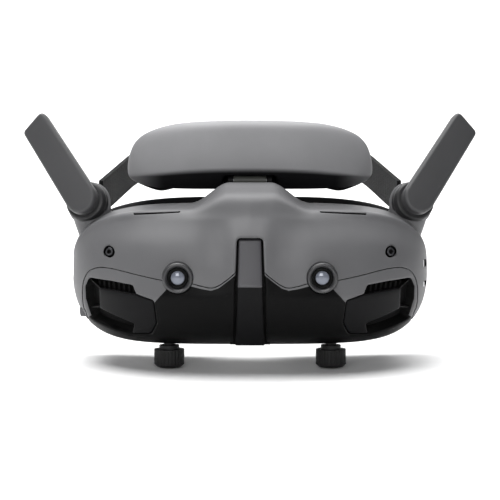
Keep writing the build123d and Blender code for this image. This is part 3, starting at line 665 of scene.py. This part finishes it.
# The bar below its crease, painted near black as the shade of its down-facing part.
BAR_PAINTED_SHADE = plastic("bar_painted_shade", (0.0055, 0.0055, 0.006), 0.4, depth=0.02, specular=0.08)
HINGE_GREY = plastic("hinge_grey", (0.075, 0.078, 0.07), 0.42, specular=0.3)
RING = plastic("ring_dark", (0.032, 0.032, 0.034), 0.32, depth=0.015, round_edges=0.15)
AERIAL = plastic("antenna_grey", (0.043, 0.043, 0.045), 0.5, grain=0.35, depth=0.05)
KNOB = plastic("knob_black", (0.013, 0.013, 0.013), 0.5, round_edges=0.25, specular=0.25)
STRAP_PLASTIC = plastic("strap_plastic", (0.012, 0.012, 0.013), 0.5, round_edges=0.3, specular=0.15)
STEEL = metal("steel", (0.42, 0.42, 0.43), 0.34)
BRIGHT = metal("aluminium", (0.62, 0.62, 0.63), 0.4, turned=False)
COPPER = metal("copper_strip", (0.6, 0.4, 0.2), 0.35)
TAPE = weave("headband_weave", (0.0055, 0.0055, 0.006), 0.9)
CLOTH = knit("face_cloth", (0.0085, 0.0085, 0.009))
# The opaque lens domes' grey face-on, darker at the rim, is a painted reflection.
LENS_PAINTED_REFLECTION = glass_with_painted_reflection("lens_painted_reflection", (0.2, 0.2, 0.21), 0.0, rim=(0.02, 0.02, 0.025))
CLEAR = glass_with_painted_reflection("clear_glass", (0.55, 0.58, 0.6), 0.95)
BOARD = board("circuit_board")
WRAP = plastic("cell_wrap", (0.05, 0.11, 0.22), 0.3, depth=0.02)
SCREEN = glass_with_painted_reflection("display_cover", (0.004, 0.004, 0.006), 0.0)
# The forehead unit's grey, with shade painted near black under its fold.
PAD_GREY_PAINTED_SHADE = grey_with_painted_shade(plastic("pad_grey", (0.21, 0.21, 0.216), 0.48, specular=0.3), (0.012, 0.012, 0.013))
BY_SLOT = {
    "shell_grey": GREY, "shell_dark": SHELL_SHADE_BLACK, "panel_dark": PANEL_BLACK, "antenna_grey": AERIAL, "steel": STEEL,
    "optic_glass": CLEAR, "knob_rubber": KNOB, "foam_black": CLOTH, "strap_fabric": TAPE,
    "strap_plastic": STRAP_PLASTIC, "board_green": BOARD, "metal_bright": BRIGHT, "cell_wrap": WRAP,
    "radiator_strip": COPPER, "display_glass": SCREEN}
slot_of = {entry["node"]: entry["material_slot"] for entry in frame["record"]["subparts"]}
for name, obj in nodes.items():
    obj.data.materials.clear()
    obj.data.materials.append(BY_SLOT[slot_of[name]])


def piece(name, part, mats, body, replaced=(), slots=None, slot_name=None, **how):
    obj = make_object(name, *part, mats=mats, slots=slots, **how)
    if replaced:
        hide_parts(*replaced)
    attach(obj, body)
    return obj


# ---------------- solids from profiles
def frame_of(axis, up=(0, 0, 1)):
    a = unit(np.array(axis, float))
    x = np.cross(up, a)
    if np.linalg.norm(x) < 1e-6:
        x = np.array([1.0, 0, 0])
    x = unit(x)
    return x, np.cross(a, x), a


def tube_faces(rows, count):
    """Faces between closed rings of count points, one ring after another."""
    faces = []
    for i in range(rows - 1):
        for k in range(count):
            n = (k + 1) % count
            faces.append([i * count + k, i * count + n, (i + 1) * count + n, (i + 1) * count + k])
    return faces


def cap(row, count):
    """The face that fills one ring."""
    return [row * count + k for k in range(count)]


def lathe(profile, centre, axis, steps=64, hollow=False):
    """A profile of (radius, height) turned about an axis, with flat ends, or closed on itself if hollow."""
    x, y, a = frame_of(axis)
    angle = np.linspace(0, 2 * math.pi, steps, endpoint=False)
    around = np.cos(angle)[:, None] * x + np.sin(angle)[:, None] * y
    verts = np.concatenate([np.asarray(centre) + r * around + h * a for r, h in profile])
    faces = tube_faces(len(profile), steps)
    last = (len(profile) - 1) * steps
    if hollow:
        faces += [[k, (k + 1) % steps, last + (k + 1) % steps, last + k][::-1] for k in range(steps)]
    else:
        faces += [cap(0, steps)[::-1], cap(len(profile) - 1, steps)]
    return verts, faces


def signed_area(p):
    """Twice the area of a closed outline, positive when it runs anticlockwise."""
    return np.sum(p[:, 0] * np.roll(p[:, 1], -1) - np.roll(p[:, 0], -1) * p[:, 1])


def offset_outline(outline, by):
    """A closed outline moved inward by a distance."""
    p = np.asarray(outline, float)
    before, after = p - np.roll(p, 1, axis=0), np.roll(p, -1, axis=0) - p
    n1 = unit(np.stack([-before[:, 1], before[:, 0]], 1))
    n2 = unit(np.stack([-after[:, 1], after[:, 0]], 1))
    n = unit(n1 + n2)
    n = n / np.maximum((n * n1).sum(1, keepdims=True), 0.5)
    return p + n * by * (1 if signed_area(p) > 0 else -1)


def even(outline, count):
    p = np.asarray(outline, float)
    q = np.concatenate([p, p[:1]])
    length = np.concatenate([[0], np.cumsum(np.linalg.norm(np.diff(q, axis=0), axis=1))])
    t = np.linspace(0, length[-1], count, endpoint=False)
    return np.stack([np.interp(t, length, q[:, k]) for k in range(2)], 1)


def slab(outline, z0, z1, r0, r1, place, steps=6):
    """A flat solid with rounded rims, from a closed outline; place maps (x, y, z) rows to the frame."""
    rings = []
    for a in np.linspace(0, math.pi / 2, steps):
        rings.append((r0 * (1 - math.sin(a)), z0 + r0 * (1 - math.cos(a))))
    for a in np.linspace(0, math.pi / 2, steps):
        rings.append((r1 * (1 - math.cos(a)), z1 - r1 * (1 - math.sin(a))))
    verts, count = [], len(outline)
    for inward, z in rings:
        o = offset_outline(outline, inward)
        verts.append(np.column_stack([o, np.full(count, z)]))
    faces = tube_faces(len(rings), count) + [cap(0, count)[::-1], cap(len(rings) - 1, count)]
    if signed_area(np.asarray(outline)) < 0:
        faces = [f[::-1] for f in faces]
    return place(np.concatenate(verts)), faces


def strip_between(a, b):
    """Faces between two closed rings of points of the same length."""
    return np.concatenate([a, b]), tube_faces(2, len(a))


# ---------------- casing skins
# Inside this outline, and on the underside, the lower shell is painted near black as shade; only its lit
# shoulder next to the seam keeps the grey.
SHADE_OUTLINE = [(7.6, 5.0), (10.6, 2.5), (13.3, 0.4), (16.4, -1.9), (20.3, -3.2), (25.6, -2.3), (30.0, -1.2)]
SHADE_OUTLINE += [(38.0, -0.5), (43.5, -2.8), (47.3, -6.8), (50.8, -11.0), (56, -16), (60, -23), (66, -24.5)]
SHADE_OUTLINE += [(76, -22.5), (84, -20.0), (87.4, -22.0), (88.6, -25.5), (93, -70)]
shade_distance = distance_to(np.array([(-x, z) for x, z in SHADE_OUTLINE] + [(0, -70), (0, 5.0)]))
shade_distance_both = sided(shade_distance)
lower.insert(near_only(shade_distance_both), [0.0])
lower_tris = lower.v[lower.t].mean(1)
is_painted_shade = (near_only(shade_distance_both)(lower_tris) < 0) | (~on_front(lower_tris) & (lower_tris[:, 2] < -6))
verts, faces = lower.solid(SHELL_T)
# The inner faces and cut rims are painted near black as shade too.
slots = np.ones(len(faces), int)
slots[:len(lower.t)] = is_painted_shade
piece("lower_shell_skin", (verts, faces), [GREY, SHELL_SHADE_BLACK], "casing", ["lower_shell"], slots)
verts, faces = upper.solid(SHELL_T)
slots = np.zeros(len(faces), int)
# The inner faces and cut rims are painted near black as shade.
slots[len(upper.t):] = 1
piece("upper_shell_skin", (verts, faces), [GREY, SHELL_SHADE_BLACK], "casing", ["upper_shell"], slots)

# ---------------- side intakes
duct_line = even(DUCT, 150)
rim, rim_n = behind_front(duct_line, 1.2)
low_rim = rim - rim_n * 4.6
inner_line = offset_outline(duct_line, 0.6)
floor_rim, _ = behind_front(inner_line, 6.2)
lining = join(strip_between(rim, low_rim), strip_between(low_rim, floor_rim))
base = casing_surface()
right_front = base.part(lambda c: (c[:, 0] < -40) & (c[:, 1] < -14) & (c[:, 2] < 6) & (c[:, 2] > -33))


def patch(fn, depth, thickness, radius):
    """A plate that follows the casing's front, inside an outline, sunk by a depth and with rounded rims."""
    near = right_front.part(lambda c: fn(c) < 3.0)
    near.insert(fn, sorted([-k for k in roll_levels(0.0, radius)]))
    near = near.part(lambda c: fn(c) < 0)
    near.sink(depth + rolled(np.maximum(-fn(near.v), 0), radius))
    return near.solid(thickness)


duct_right = distance_to(DUCT)
panel_right = distance_to(PANEL)


def behind_seam(c):
    """The band behind the seam, clear of every opening."""
    return (np.abs(seam(c)) < 3.5) & (c[:, 1] < -3) & (np.min([f(c) for f in cuts], axis=0) > 0.4)


# A near-black band sunk behind the seam: painted shade seen through the gap.
gap_shade = base.part(behind_seam)
gap_shade.sink(np.full(len(gap_shade.v), SHELL_T + 0.35))
piece("seam_gap_shade", gap_shade.solid(0.8), [RECESS_BLACK_AND_SHADE], "casing", slot_name="shell_dark")
floor = patch(lambda v: duct_right(v) - 0.8, 6.2, 1.0, 0.1)


def rib(a, b, depth_a, depth_b, width):
    """A thin upright web on the casing's front between two front-view points."""
    p, n = front_at(*np.array([a, b], float).T)
    across = unit(np.cross(p[1] - p[0], n.mean(0)))
    top = np.array([p[0] - n[0] * depth_a, p[1] - n[1] * depth_b])
    bottom = np.array([p[0] - n[0] * 6.8, p[1] - n[1] * 6.8])
    side = across * width
    corners = []
    for a_end, b_end in (top, bottom):
        corners += [a_end - side, a_end + side, b_end + side, b_end - side]
    faces = [[0, 1, 2, 3], [7, 6, 5, 4], [0, 4, 5, 1], [1, 5, 6, 2], [2, 6, 7, 3], [3, 7, 4, 0]]
    return np.array(corners), faces


ribs = join(
    rib((-88.0, -0.6), (-80.6, -5.0), 2.2, 1.4, 0.35), rib((-88.0, -17.4), (-80.3, -15.2), 2.4, 1.6, 0.35))
lining_solid = join(lining, floor, ribs)
# The intakes' walls, floors and slats take the near-black recess colour: painted shade in their depths.
piece("intake_lining", both(lining_solid), [RECESS_BLACK_AND_SHADE], "casing", ["intake_frames"])
panels = both(patch(panel_right, 0.5, 2.4, 0.8))
piece("intake_panel_plates", panels, [PANEL_BLACK], "casing", ["intake_panels"])
SLATS, SLAT_START, SLAT_PITCH = 8, -84.0, 2.9
slat_parts = []
for k in range(SLATS):
    x = SLAT_START + SLAT_PITCH * k
    slat_line = rounded([(x, -0.6), (x + 1.1, -0.7), (x + 1.5, -6.8), (x + 0.4, -6.6)], 0.2, 3)
    slat_parts.append(patch(distance_to(slat_line), 3.6, 1.2, 0.2))
piece("intake_slats", both(join(*slat_parts)), [RECESS_BLACK_AND_SHADE], "casing", ["intake_grilles"])

# ---------------- centre bar
BAR_TOP, BAR_FOOT = 23.4, -34.5
BAR_SIDE = [(BAR_TOP, -64.6), (22.4, -66.9), (22.0, -67.5), (1.4, -76.3), (-0.2, -77.1)]
BAR_SIDE += [(-1.4, -76.9), (-10, -74.4), (-20, -68.3), (-28, -61.5), (BAR_FOOT, -54.5)]
BAR_STRETCHES = [(BAR_TOP, 22.0, 5), (21.2, 1.6, 26), (0.9, -2.0, 8), (-3.4, BAR_FOOT, 28)]
bar_z = np.concatenate([np.linspace(*stretch) for stretch in BAR_STRETCHES])
bar_y = np.interp(-bar_z, [-z for z, _ in BAR_SIDE], [y for _, y in BAR_SIDE])
bar_y = relax(bar_y[:, None], 1, 0)[:, 0]
bar_half = np.interp(-bar_z, [-BAR_TOP, 5, -BAR_FOOT], [5.9, 6.5, 7.7])
half_cross = [(-1.0, 5.0), (-1.0, 0.9), (-0.97, 0.45), (-0.9, 0.12), (-0.8, 0.0), (-0.4, -0.18)]
cross = half_cross + [(0.0, -0.25)] + [(-cx, cy) for cx, cy in reversed(half_cross)]
bar_grid = np.array([[(h * cx, y + cy, z) for cx, cy in cross] for z, y, h in zip(bar_z, bar_y, bar_half)])
bar_verts = bar_grid.reshape(-1, 3)
rows, cols = bar_grid.shape[:2]
bar_faces = [list(f) for f in grid_faces(rows, cols)]
bar_faces += [cap(0, cols), cap(rows - 1, cols)[::-1]]
bar_faces += [[i * cols, (i + 1) * cols, (i + 2) * cols - 1, (i + 1) * cols - 1] for i in range(rows - 1)]
groove_grid = []
for z, y in zip(bar_z, bar_y):
    half = np.interp(-z, [-BAR_TOP, -BAR_FOOT], [8.6, 10.6])
    groove_grid.append([(half * k, y + 4.4, z + (1.8 if z > 22.6 else 0)) for k in (-1, -0.5, 0, 0.5, 1)])
groove_grid = np.array(groove_grid)
groove_verts = groove_grid.reshape(-1, 3)
groove_normals = np.tile([0.0, -1, 0], (len(groove_verts), 1))
groove = Surface(groove_verts, groove_normals, grid_faces(*groove_grid.shape[:2])).solid(0.8)
bar_part = join((bar_verts, bar_faces), groove)
BAR_CREASE = -1.2
# Faces below the crease face down and get the painted shade; the groove gets the near-black recess colour.
bar_slots = [2 if bar_verts[list(f)][:, 2].mean() < BAR_CREASE else 0 for f in bar_faces]
bar_slots += [1] * len(groove[1])
piece("centre_bar_skin", bar_part, [BAR, RECESS_BLACK_AND_SHADE, BAR_PAINTED_SHADE], "casing", ["centre_bar"], bar_slots, sharp=28)

# ---------------- cameras
cam_at = np.array([-CAMERA_X, -72.0, CAMERA_Z])
look = (0, -1, 0)
bezel_profile = [(7.95, -6.0), (7.95, 0.6), (7.8, 1.15), (7.4, 1.45), (6.9, 1.5), (6.6, 1.35)]
bezel_profile += [(6.0, 0.2), (5.7, 0.0), (5.6, -0.2), (5.5, -3.0), (5.5, -6.0)]
bezel = lathe(bezel_profile, cam_at, look, 96, hollow=True)
barrel_profile = [(5.45, -6.0), (5.45, 0.1), (5.3, 0.45), (5.0, 0.55), (4.7, 0.4), (4.4, -0.2)]
barrel_profile += [(3.6, -0.7), (3.5, -1.2), (2.9, -1.3), (2.8, -6.0)]
barrel = lathe(barrel_profile, cam_at, look, 96, hollow=True)
DOME_R, DOME_RIM, DOME_RISE = 4.15, -1.6, 1.7
dome = [(DOME_R, -3.0), (DOME_R, DOME_RIM)]
for a in np.linspace(math.pi / 2 - 0.05, 0.03, 16):
    dome.append((DOME_R * math.sin(a), DOME_RIM + DOME_RISE * math.cos(a)))
lens_front = lathe(dome, cam_at, look, 64)
piece("camera_bezel_rings", both(bezel), [RING], "casing", ["camera_bezels"])
piece("camera_barrel_rings", both(barrel), [RECESS_BLACK_AND_SHADE], "casing", ["camera_barrels"])
piece("camera_lens_domes", both(lens_front), [LENS_PAINTED_REFLECTION], "casing", ["camera_lenses"])

# ---------------- front screws
screw_p, screw_n = (found[0] for found in front_at([-SCREW_X], [SCREW_Z]))
tilt = unit(screw_n * 0.45 + np.array([0, -1, 0]) * 0.55)
SCREW_STEPS = 48
screw_profile = [(1.1, -6.0), (1.1, -1.9), (2.2, -1.8), (2.2, -0.75), (1.95, -0.45)]
screw_profile += [(1.25, -0.38), (1.02, -0.55), (0.98, -1.9), (0.02, -1.95)]
screw = lathe(screw_profile, screw_p, tilt, SCREW_STEPS)
well = lathe([(3.3, -0.6), (3.25, -3.2), (0.02, -3.2)], screw_p, tilt, SCREW_STEPS)
well = (well[0], well[1][:-2])
screw_part = join(screw, well)
# The wells around the heads are painted near black as shade.
screw_slots = [0] * SCREW_STEPS * 5 + [1] * SCREW_STEPS * 3 + [0, 1] + [1] * len(well[1])
piece("front_screw_heads", both(screw_part), [SCREW, RECESS_BLACK_AND_SHADE], "casing", ["front_screws"], screw_slots * 2)

# ---------------- forehead unit
PAD_C = np.array([0.0, 64.0])
PAD_HALF_WIDTH = 67
half_pad = [(0.0, 83.1), (-14.0, 82.95), (-27.6, 82.4), (-40.0, 81.3), (-50.4, 78.9), (-58.3, 75.4)]
half_pad += [(-63.1, 71.0), (-65.6, 66.0), (-66.8, 61.0), (-67.2, 56.4), (-66.6, 52.6), (-63.4, 49.6)]
half_pad += [(-57.5, 47.6), (-50.0, 46.3), (-42.0, 45.8), (-30.0, 45.6), (-15.0, 45.6), (0.0, 45.6)]
pad_line = np.array(half_pad + [(-x, z) for x, z in reversed(half_pad[1:-1])])
pad_line = even(curve_through(pad_line, 8, closed=True), 220)


def pad_front_y(x, z):
    """How far back the forehead unit's front lies: swept back at its ends and leaning back under its fold."""
    sweep = 12.5 * np.clip(np.abs(x) / PAD_HALF_WIDTH, 0, 1.2) ** 3.2
    fold = 57.6 - 4.2 * np.clip(np.abs(x) / 63, 0, 1.1) ** 2.5
    below = np.clip(fold - z, 0, 20)
    soft = np.sqrt(below**2 + 0.8) - 0.9
    lean = 0.0085 * np.clip(z - fold, 0, 40) ** 2
    return -17.6 + sweep + 1.05 * np.maximum(soft, 0) + lean


def rim_y(p):
    """Where the rounded rim ends behind the front."""
    swept = -6.5 + 7.0 * np.clip(np.abs(p[:, 0]) / PAD_HALF_WIDTH, 0, 1.2) ** 3.0
    return np.maximum(swept, pad_front_y(p[:, 0], p[:, 1]) + 1.0)


def front_ring(s):
    """One ring of the forehead unit's front, at a share of the way out from its middle."""
    p = PAD_C + (pad_line - PAD_C) * s
    y_face, y_rim = pad_front_y(p[:, 0], p[:, 1]), rim_y(p)
    share_in = (1 - s**11) ** (1 / 2.3)
    return np.column_stack([p[:, 0], y_rim + (y_face - y_rim) * share_in, p[:, 1]])


ring_shares = [np.linspace(0.0, 0.8, 26)[1:], np.linspace(0.82, 0.95, 10), np.linspace(0.957, 1.0, 14)]
rings = [front_ring(s) for s in np.concatenate(ring_shares)]
last = rings[-1]
PAD_BACK = 4.6
for k in np.linspace(0, 1, 6)[1:]:
    y = last[:, 1] + (PAD_BACK - last[:, 1]) * k
    z = PAD_C[1] + (last[:, 2] - PAD_C[1]) * (1 - 0.006 * k)
    rings.append(np.column_stack([last[:, 0] * (1 - 0.004 * k), y, z]))
count = len(pad_line)
middle_y = float(pad_front_y(np.array([0.0]), PAD_C[1:])[0])
pad_verts = np.concatenate(rings + [np.array([[0, middle_y, PAD_C[1]]])])
pad_faces = tube_faces(len(rings), count)
# A notch in the lower middle leaves room for the hinge.
NOTCH_HALF, NOTCH_TOP = 13.2, 53.6
notch_share = 1 - ramp((np.abs(pad_verts[:, 0]) - NOTCH_HALF) / 2.6)
low = np.clip(NOTCH_TOP - pad_verts[:, 2], 0, 20)
pad_verts[:, 2] += 0.97 * low * notch_share
centre_id = len(pad_verts) - 1
pad_faces += [[centre_id, (k + 1) % count, k] for k in range(count)]
pad_faces.append(cap(len(rings) - 1, count))
knuckle = lathe([(3.0, -8.8), (3.0, 8.8)], (0, -9.0, 50.5), (1, 0, 0), 40)
pad_part = join((pad_verts, pad_faces), knuckle)
pad_slots = [0] * len(pad_faces) + [1] * len(knuckle[1])
pad_stands_for = ["pad_shell", "pad_tray"]
piece("pad_shell_skin", pad_part, [PAD_GREY_PAINTED_SHADE, HINGE_GREY], "forehead_unit", pad_stands_for, pad_slots)


def cushion_line():
    """The unit's outline with two soft lobes hanging lower at its ends."""
    line = pad_line.copy()
    low = np.clip((60 - line[:, 1]) / 15, 0, 1)
    side = np.clip((np.abs(line[:, 0]) - 36) / 16, 0, 1)
    lobe = 0.55 + 0.45 * np.exp(-(((np.abs(line[:, 0]) - 50) / 9) ** 2))
    line[:, 1] -= 3.0 * ramp(low) * lobe * ramp(side)
    return line


def wrap(p):
    """How far a point of the cushion is carried back to follow the forehead."""
    return 2.2 * np.clip(np.abs(p[:, 0]) / PAD_HALF_WIDTH, 0, 1) ** 2


soft_line = cushion_line()
soft_rings = []
for k in np.linspace(0, 1, 22):
    a = k * math.pi
    swell = 1 - 0.030 * (1 - math.sin(a) ** 0.6)
    y = 9.8 - 4.9 * math.cos(a)
    p = PAD_C + (soft_line - PAD_C) * swell * 0.985
    soft_rings.append(np.column_stack([p[:, 0], y + wrap(p) * k, p[:, 1]]))
for s in np.linspace(0.93, 0.0, 26)[:-1]:
    p = PAD_C + (soft_line - PAD_C) * 0.955 * s
    seams = 1.2 * np.exp(-((np.abs(p[:, 0]) / 1.6) ** 2)) + 1.0 * np.exp(-(((s - 0.8) / 0.035) ** 2))
    hollow = 1.2 * (1 - np.clip(np.abs(p[:, 0]) / 40, 0, 1) ** 2)
    y = 14.7 + 0.9 * (1 - s**3) + wrap(p) - seams - hollow
    soft_rings.append(np.column_stack([p[:, 0], y, p[:, 1]]))
soft_verts = np.concatenate(soft_rings + [np.array([[0, 13.2, PAD_C[1]]])])
soft_faces = [f[::-1] for f in tube_faces(len(soft_rings), count)]
last_ring = cap(len(soft_rings) - 1, count)
soft_faces += [[len(soft_verts) - 1, last_ring[k], last_ring[(k + 1) % count]] for k in range(count)]
soft_faces.append(cap(0, count))
soft_part = (soft_verts, soft_faces)
cushion = piece("forehead_cushion", soft_part, [CLOTH], "forehead_unit", ["pad_cushion"], sharp=60)

# ---------------- antennas
lean, splay = math.radians(22.0), math.radians(34.0)
PIVOT = np.array([-91.5, -17.5, 41.5])
axis = unit(np.array([-0.64 * math.sin(lean), -math.cos(lean), 0.77 * math.sin(lean)]))
reach = np.array([-math.sin(splay) * math.cos(lean), math.sin(lean), math.cos(splay) * math.cos(lean)])
reach = unit(reach - axis * (reach @ axis))
inward = np.cross(reach, axis)


def on_paddle(v):
    return PIVOT + v[:, :1] * inward + v[:, 1:2] * reach + v[:, 2:] * axis


root = [(8.8 * math.cos(a), 8.8 * math.sin(a)) for a in np.linspace(math.pi, 2 * math.pi, 40)]
tip = rounded([(8.8, 0.01), (7.9, 54.8), (-7.9, 50.4), (-8.8, 0.01)], [0.01, 3.4, 3.0, 0.01], 12)
paddle_line = np.concatenate([np.array(root), tip[12:36]])
paddle_line = even(paddle_line, 190)
front_half = slab(paddle_line, -2.1, 3.5, 0.35, 2.0, on_paddle, steps=8)
rear_half = slab(paddle_line, -3.5, -2.3, 0.7, 0.25, on_paddle, steps=5)
for side, front_part, rear_part in (
        ("right", front_half, rear_half), ("left", mirror_x(*front_half), mirror_x(*rear_half))):
    hinged = "antenna_" + side
    piece("antenna_paddle_" + side, front_part, [AERIAL], hinged, ["antenna_shell_" + side])
    piece("antenna_back_" + side, rear_part, [AERIAL], hinged, ["antenna_cover_" + side])
collar_profile = [(2.6, -5.5), (8.5, -5.5), (8.5, -4.95), (7.9, -4.8), (7.9, -4.35), (8.4, -4.2)]
collar_profile += [(8.4, -3.62), (2.6, -3.6)]
collar = lathe(collar_profile, PIVOT, axis, 72)
piece("antenna_collar_rings", both(collar), [AERIAL_DARK], "casing", ["antenna_collars"])
cup_profile = [(2.6, -5.6), (9.6, -5.6), (10.4, -5.9), (10.9, -6.5), (11.0, -7.1), (10.7, -7.4)]
cup_profile += [(10.7, -7.8), (11.1, -8.1), (11.3, -8.9), (11.3, -10.6), (11.0, -10.9), (11.0, -11.3)]
cup_profile += [(11.3, -11.6), (11.4, -12.6), (11.2, -13.2), (10.2, -15.0), (8.0, -16.6), (4.4, -17.4)]
cup_profile += [(0.05, -17.6)]
cup = lathe(cup_profile, PIVOT, axis, 72)
lip_profile = [(10.8, -13.2), (11.9, -13.5), (12.25, -14.0), (12.1, -14.7), (11.0, -16.2), (9.0, -17.6)]
lip_profile += [(6.0, -18.6), (0.05, -19.0)]
lip = lathe(lip_profile, PIVOT, axis, 72)
foot_top = PIVOT - axis * 15.2
foot_end = np.array([-83.4, -3.0, 19.0])
down = unit(foot_end - foot_top)
fx, fy, _ = frame_of(down)
FOOT_STEPS, FOOT_ROWS = 48, 14
turn = np.linspace(0, 2 * math.pi, FOOT_STEPS, endpoint=False)
foot_around = np.cos(turn)[:, None] * fx + np.sin(turn)[:, None] * fy
foot_rows = []
for k in np.linspace(0, 1, FOOT_ROWS):
    radius = 10.9 - 1.4 * k + 0.3 * math.sin(math.pi * k)
    foot_rows.append(foot_top + (foot_end - foot_top) * k + radius * foot_around)
foot_verts = np.concatenate(foot_rows)
foot_faces = tube_faces(FOOT_ROWS, FOOT_STEPS)
foot_faces += [cap(0, FOOT_STEPS)[::-1], cap(FOOT_ROWS - 1, FOOT_STEPS)]
base_part = join(cup, lip, (foot_verts, foot_faces))
base_slots = [0] * len(cup[1]) + [1] * (len(lip[1]) + len(foot_faces))
piece("antenna_base_cups", both(base_part), [AERIAL_DARK, GREY], "casing", ["antenna_bases"], base_slots * 2)

# ---------------- buttons
BUTTONS = [("power_button", "power_key", POWER_Y, 2.7), ("link_button", "link_key", LINK_Y, 1.7)]
BUTTON_DEPTH = 9.0
for name, key_body, y, half in BUTTONS:
    cap_line = rounded([(y - half, -22.6), (y + half, -22.6), (y + half, -18.4), (y - half, -18.4)], 1.2, 6)
    outer_x = min(corner[0] for corner in nodes[name].bound_box) / MM
    verts, faces = slab(cap_line, 0.0, BUTTON_DEPTH, 0.05, 0.7, lambda v: v)
    verts = np.column_stack([outer_x + BUTTON_DEPTH - verts[:, 2], verts[:, 0], verts[:, 1]])
    piece(name + "_cap", (verts, [f[::-1] for f in faces]), [GREY], key_body, [name])

# ---------------- face foam
def foam_outline(out, nose_grow, count=360):
    """The rear outline of the casing, moved outward, with the nose notch let into its foot."""
    xs = (HALF_WIDTH - 1.2) * np.sin(np.linspace(-math.pi / 2, math.pi / 2, 120))
    across = np.abs(xs)
    high = (TOP - 1.2) * np.maximum(1 - share(xs) ** 4.3, 0) ** 0.345
    deep = -(BOTTOM - 1.0) * np.sqrt(1 - share(xs) ** 6.6)
    notch = -13.0 + nose_grow - 30 * np.clip((across - 7) / 15, 0, 1) ** 1.3
    deep = np.where(across < 24, np.maximum(deep, notch), deep)
    line = np.concatenate([np.column_stack([xs, high]), np.column_stack([xs, deep])[::-1][1:-1]])
    line = even(line, count)
    for _ in range(3):
        line = (line + 0.5 * (np.roll(line, 1, axis=0) + np.roll(line, -1, axis=0))) / 2
    return offset_outline(line, -out)


def foam_ring():
    """The cushion's cross-section carried round the face, its front edge a little above the casing."""
    rings = []
    for a in np.linspace(0, 2 * math.pi, 34, endpoint=False):
        c, q = math.cos(a), math.sin(a)
        c = np.sign(c) * abs(c) ** 0.62
        q = np.sign(q) * abs(q) ** 0.75
        fore = 1 - ramp(0.4 + 0.8 * q)
        line = foam_outline(-5.2 + 5.6 * c, 1.0)
        over_top = ramp((line[:, 1] - 16) / 12) * ramp(1.25 - np.abs(line[:, 0]) / 92)
        lift = 3.3 * fore * (0.5 + 0.5 * c) * over_top
        y = REAR_CENTRE + REAR_SWEEP * (line[:, 0] / 97.0) ** 2 + 6.3 + 6.2 * q
        rings.append(np.column_stack([line[:, 0], y, line[:, 1] + lift]))
    count = len(rings[0])
    faces = []
    for i in range(len(rings)):
        for k in range(count):
            n, m = (k + 1) % count, (i + 1) % len(rings)
            faces.append([i * count + k, m * count + k, m * count + n, i * count + n])
    return np.concatenate(rings), faces


foam_piece = piece("face_cushion", foam_ring(), [CLOTH], "casing", ["face_foam"], sharp=70)

# ---------------- camera, light
cam_data = bpy.data.cameras.new("camera")
cam_data.lens, cam_data.sensor_width = 174.4, 36.0
cam = bpy.data.objects.new("camera", cam_data)
bpy.context.scene.collection.objects.link(cam)
elevation = math.radians(5)
aim = Vector((0, -0.035, 0.0147))
cam.location = aim + 1.3 * Vector((0, -math.cos(elevation), math.sin(elevation)))
cam.rotation_euler = (math.radians(90) - elevation, 0, 0)
bpy.context.scene.camera = cam
world = bpy.data.worlds.new("world")
bpy.context.scene.world = world
world.use_nodes = True
world.node_tree.nodes["Background"].inputs[0].default_value = (0.93, 0.95, 1.0, 1)
world.node_tree.nodes["Background"].inputs[1].default_value = 0.10

paper, tree, bsdf, where = shader("studio_paper")
fibre = noise(tree, where, Scale=60.0, Detail=3.0)
put(tree, bsdf, Base_Color=tinted(tree, (0.90, 0.90, 0.90), (0.93, 0.93, 0.93), fibre), Roughness=0.9)
FLOOR_Z, BEND_Y, BEND_R = -49.0, 1700, 700
sweep = [(-2500, FLOOR_Z), (BEND_Y, FLOOR_Z)]
for a in np.linspace(0.08, math.pi / 2, 20):
    sweep.append((BEND_Y + BEND_R * math.sin(a), FLOOR_Z + BEND_R * (1 - math.cos(a))))
sweep += [(BEND_Y + BEND_R, 2600)]
floor_verts = [(x, y, z) for y, z in sweep for x in (-3500, 3500)]
floor_faces = [[2 * k, 2 * k + 1, 2 * k + 3, 2 * k + 2] for k in range(len(sweep) - 1)]
backdrop = make_object("backdrop", floor_verts, floor_faces, mats=[paper])


def area(name, place, target, size, power):
    data = bpy.data.lights.new(name, "AREA")
    data.energy, data.size = power, size
    lamp = bpy.data.objects.new(name, data)
    lamp.location = place
    lamp.rotation_euler = (Vector(target) - Vector(place)).to_track_quat("-Z", "Y").to_euler()
    bpy.context.scene.collection.objects.link(lamp)


area("overhead", (-0.2, -0.12, 1.0), (0, 0, 0.02), 0.8, 11.5)
area("left", (-1.1, -0.15, 0.25), (0, 0, 0), 0.45, 0.9)
area("front", (-0.15, -1.5, 0.5), (0, 0, 0), 0.6, 8.0)
area("backdrop_light", (0, 1.0, 1.8), (0, 2.1, 0.3), 2.0, 80)
bpy.context.scene.view_settings.view_transform = "Standard"
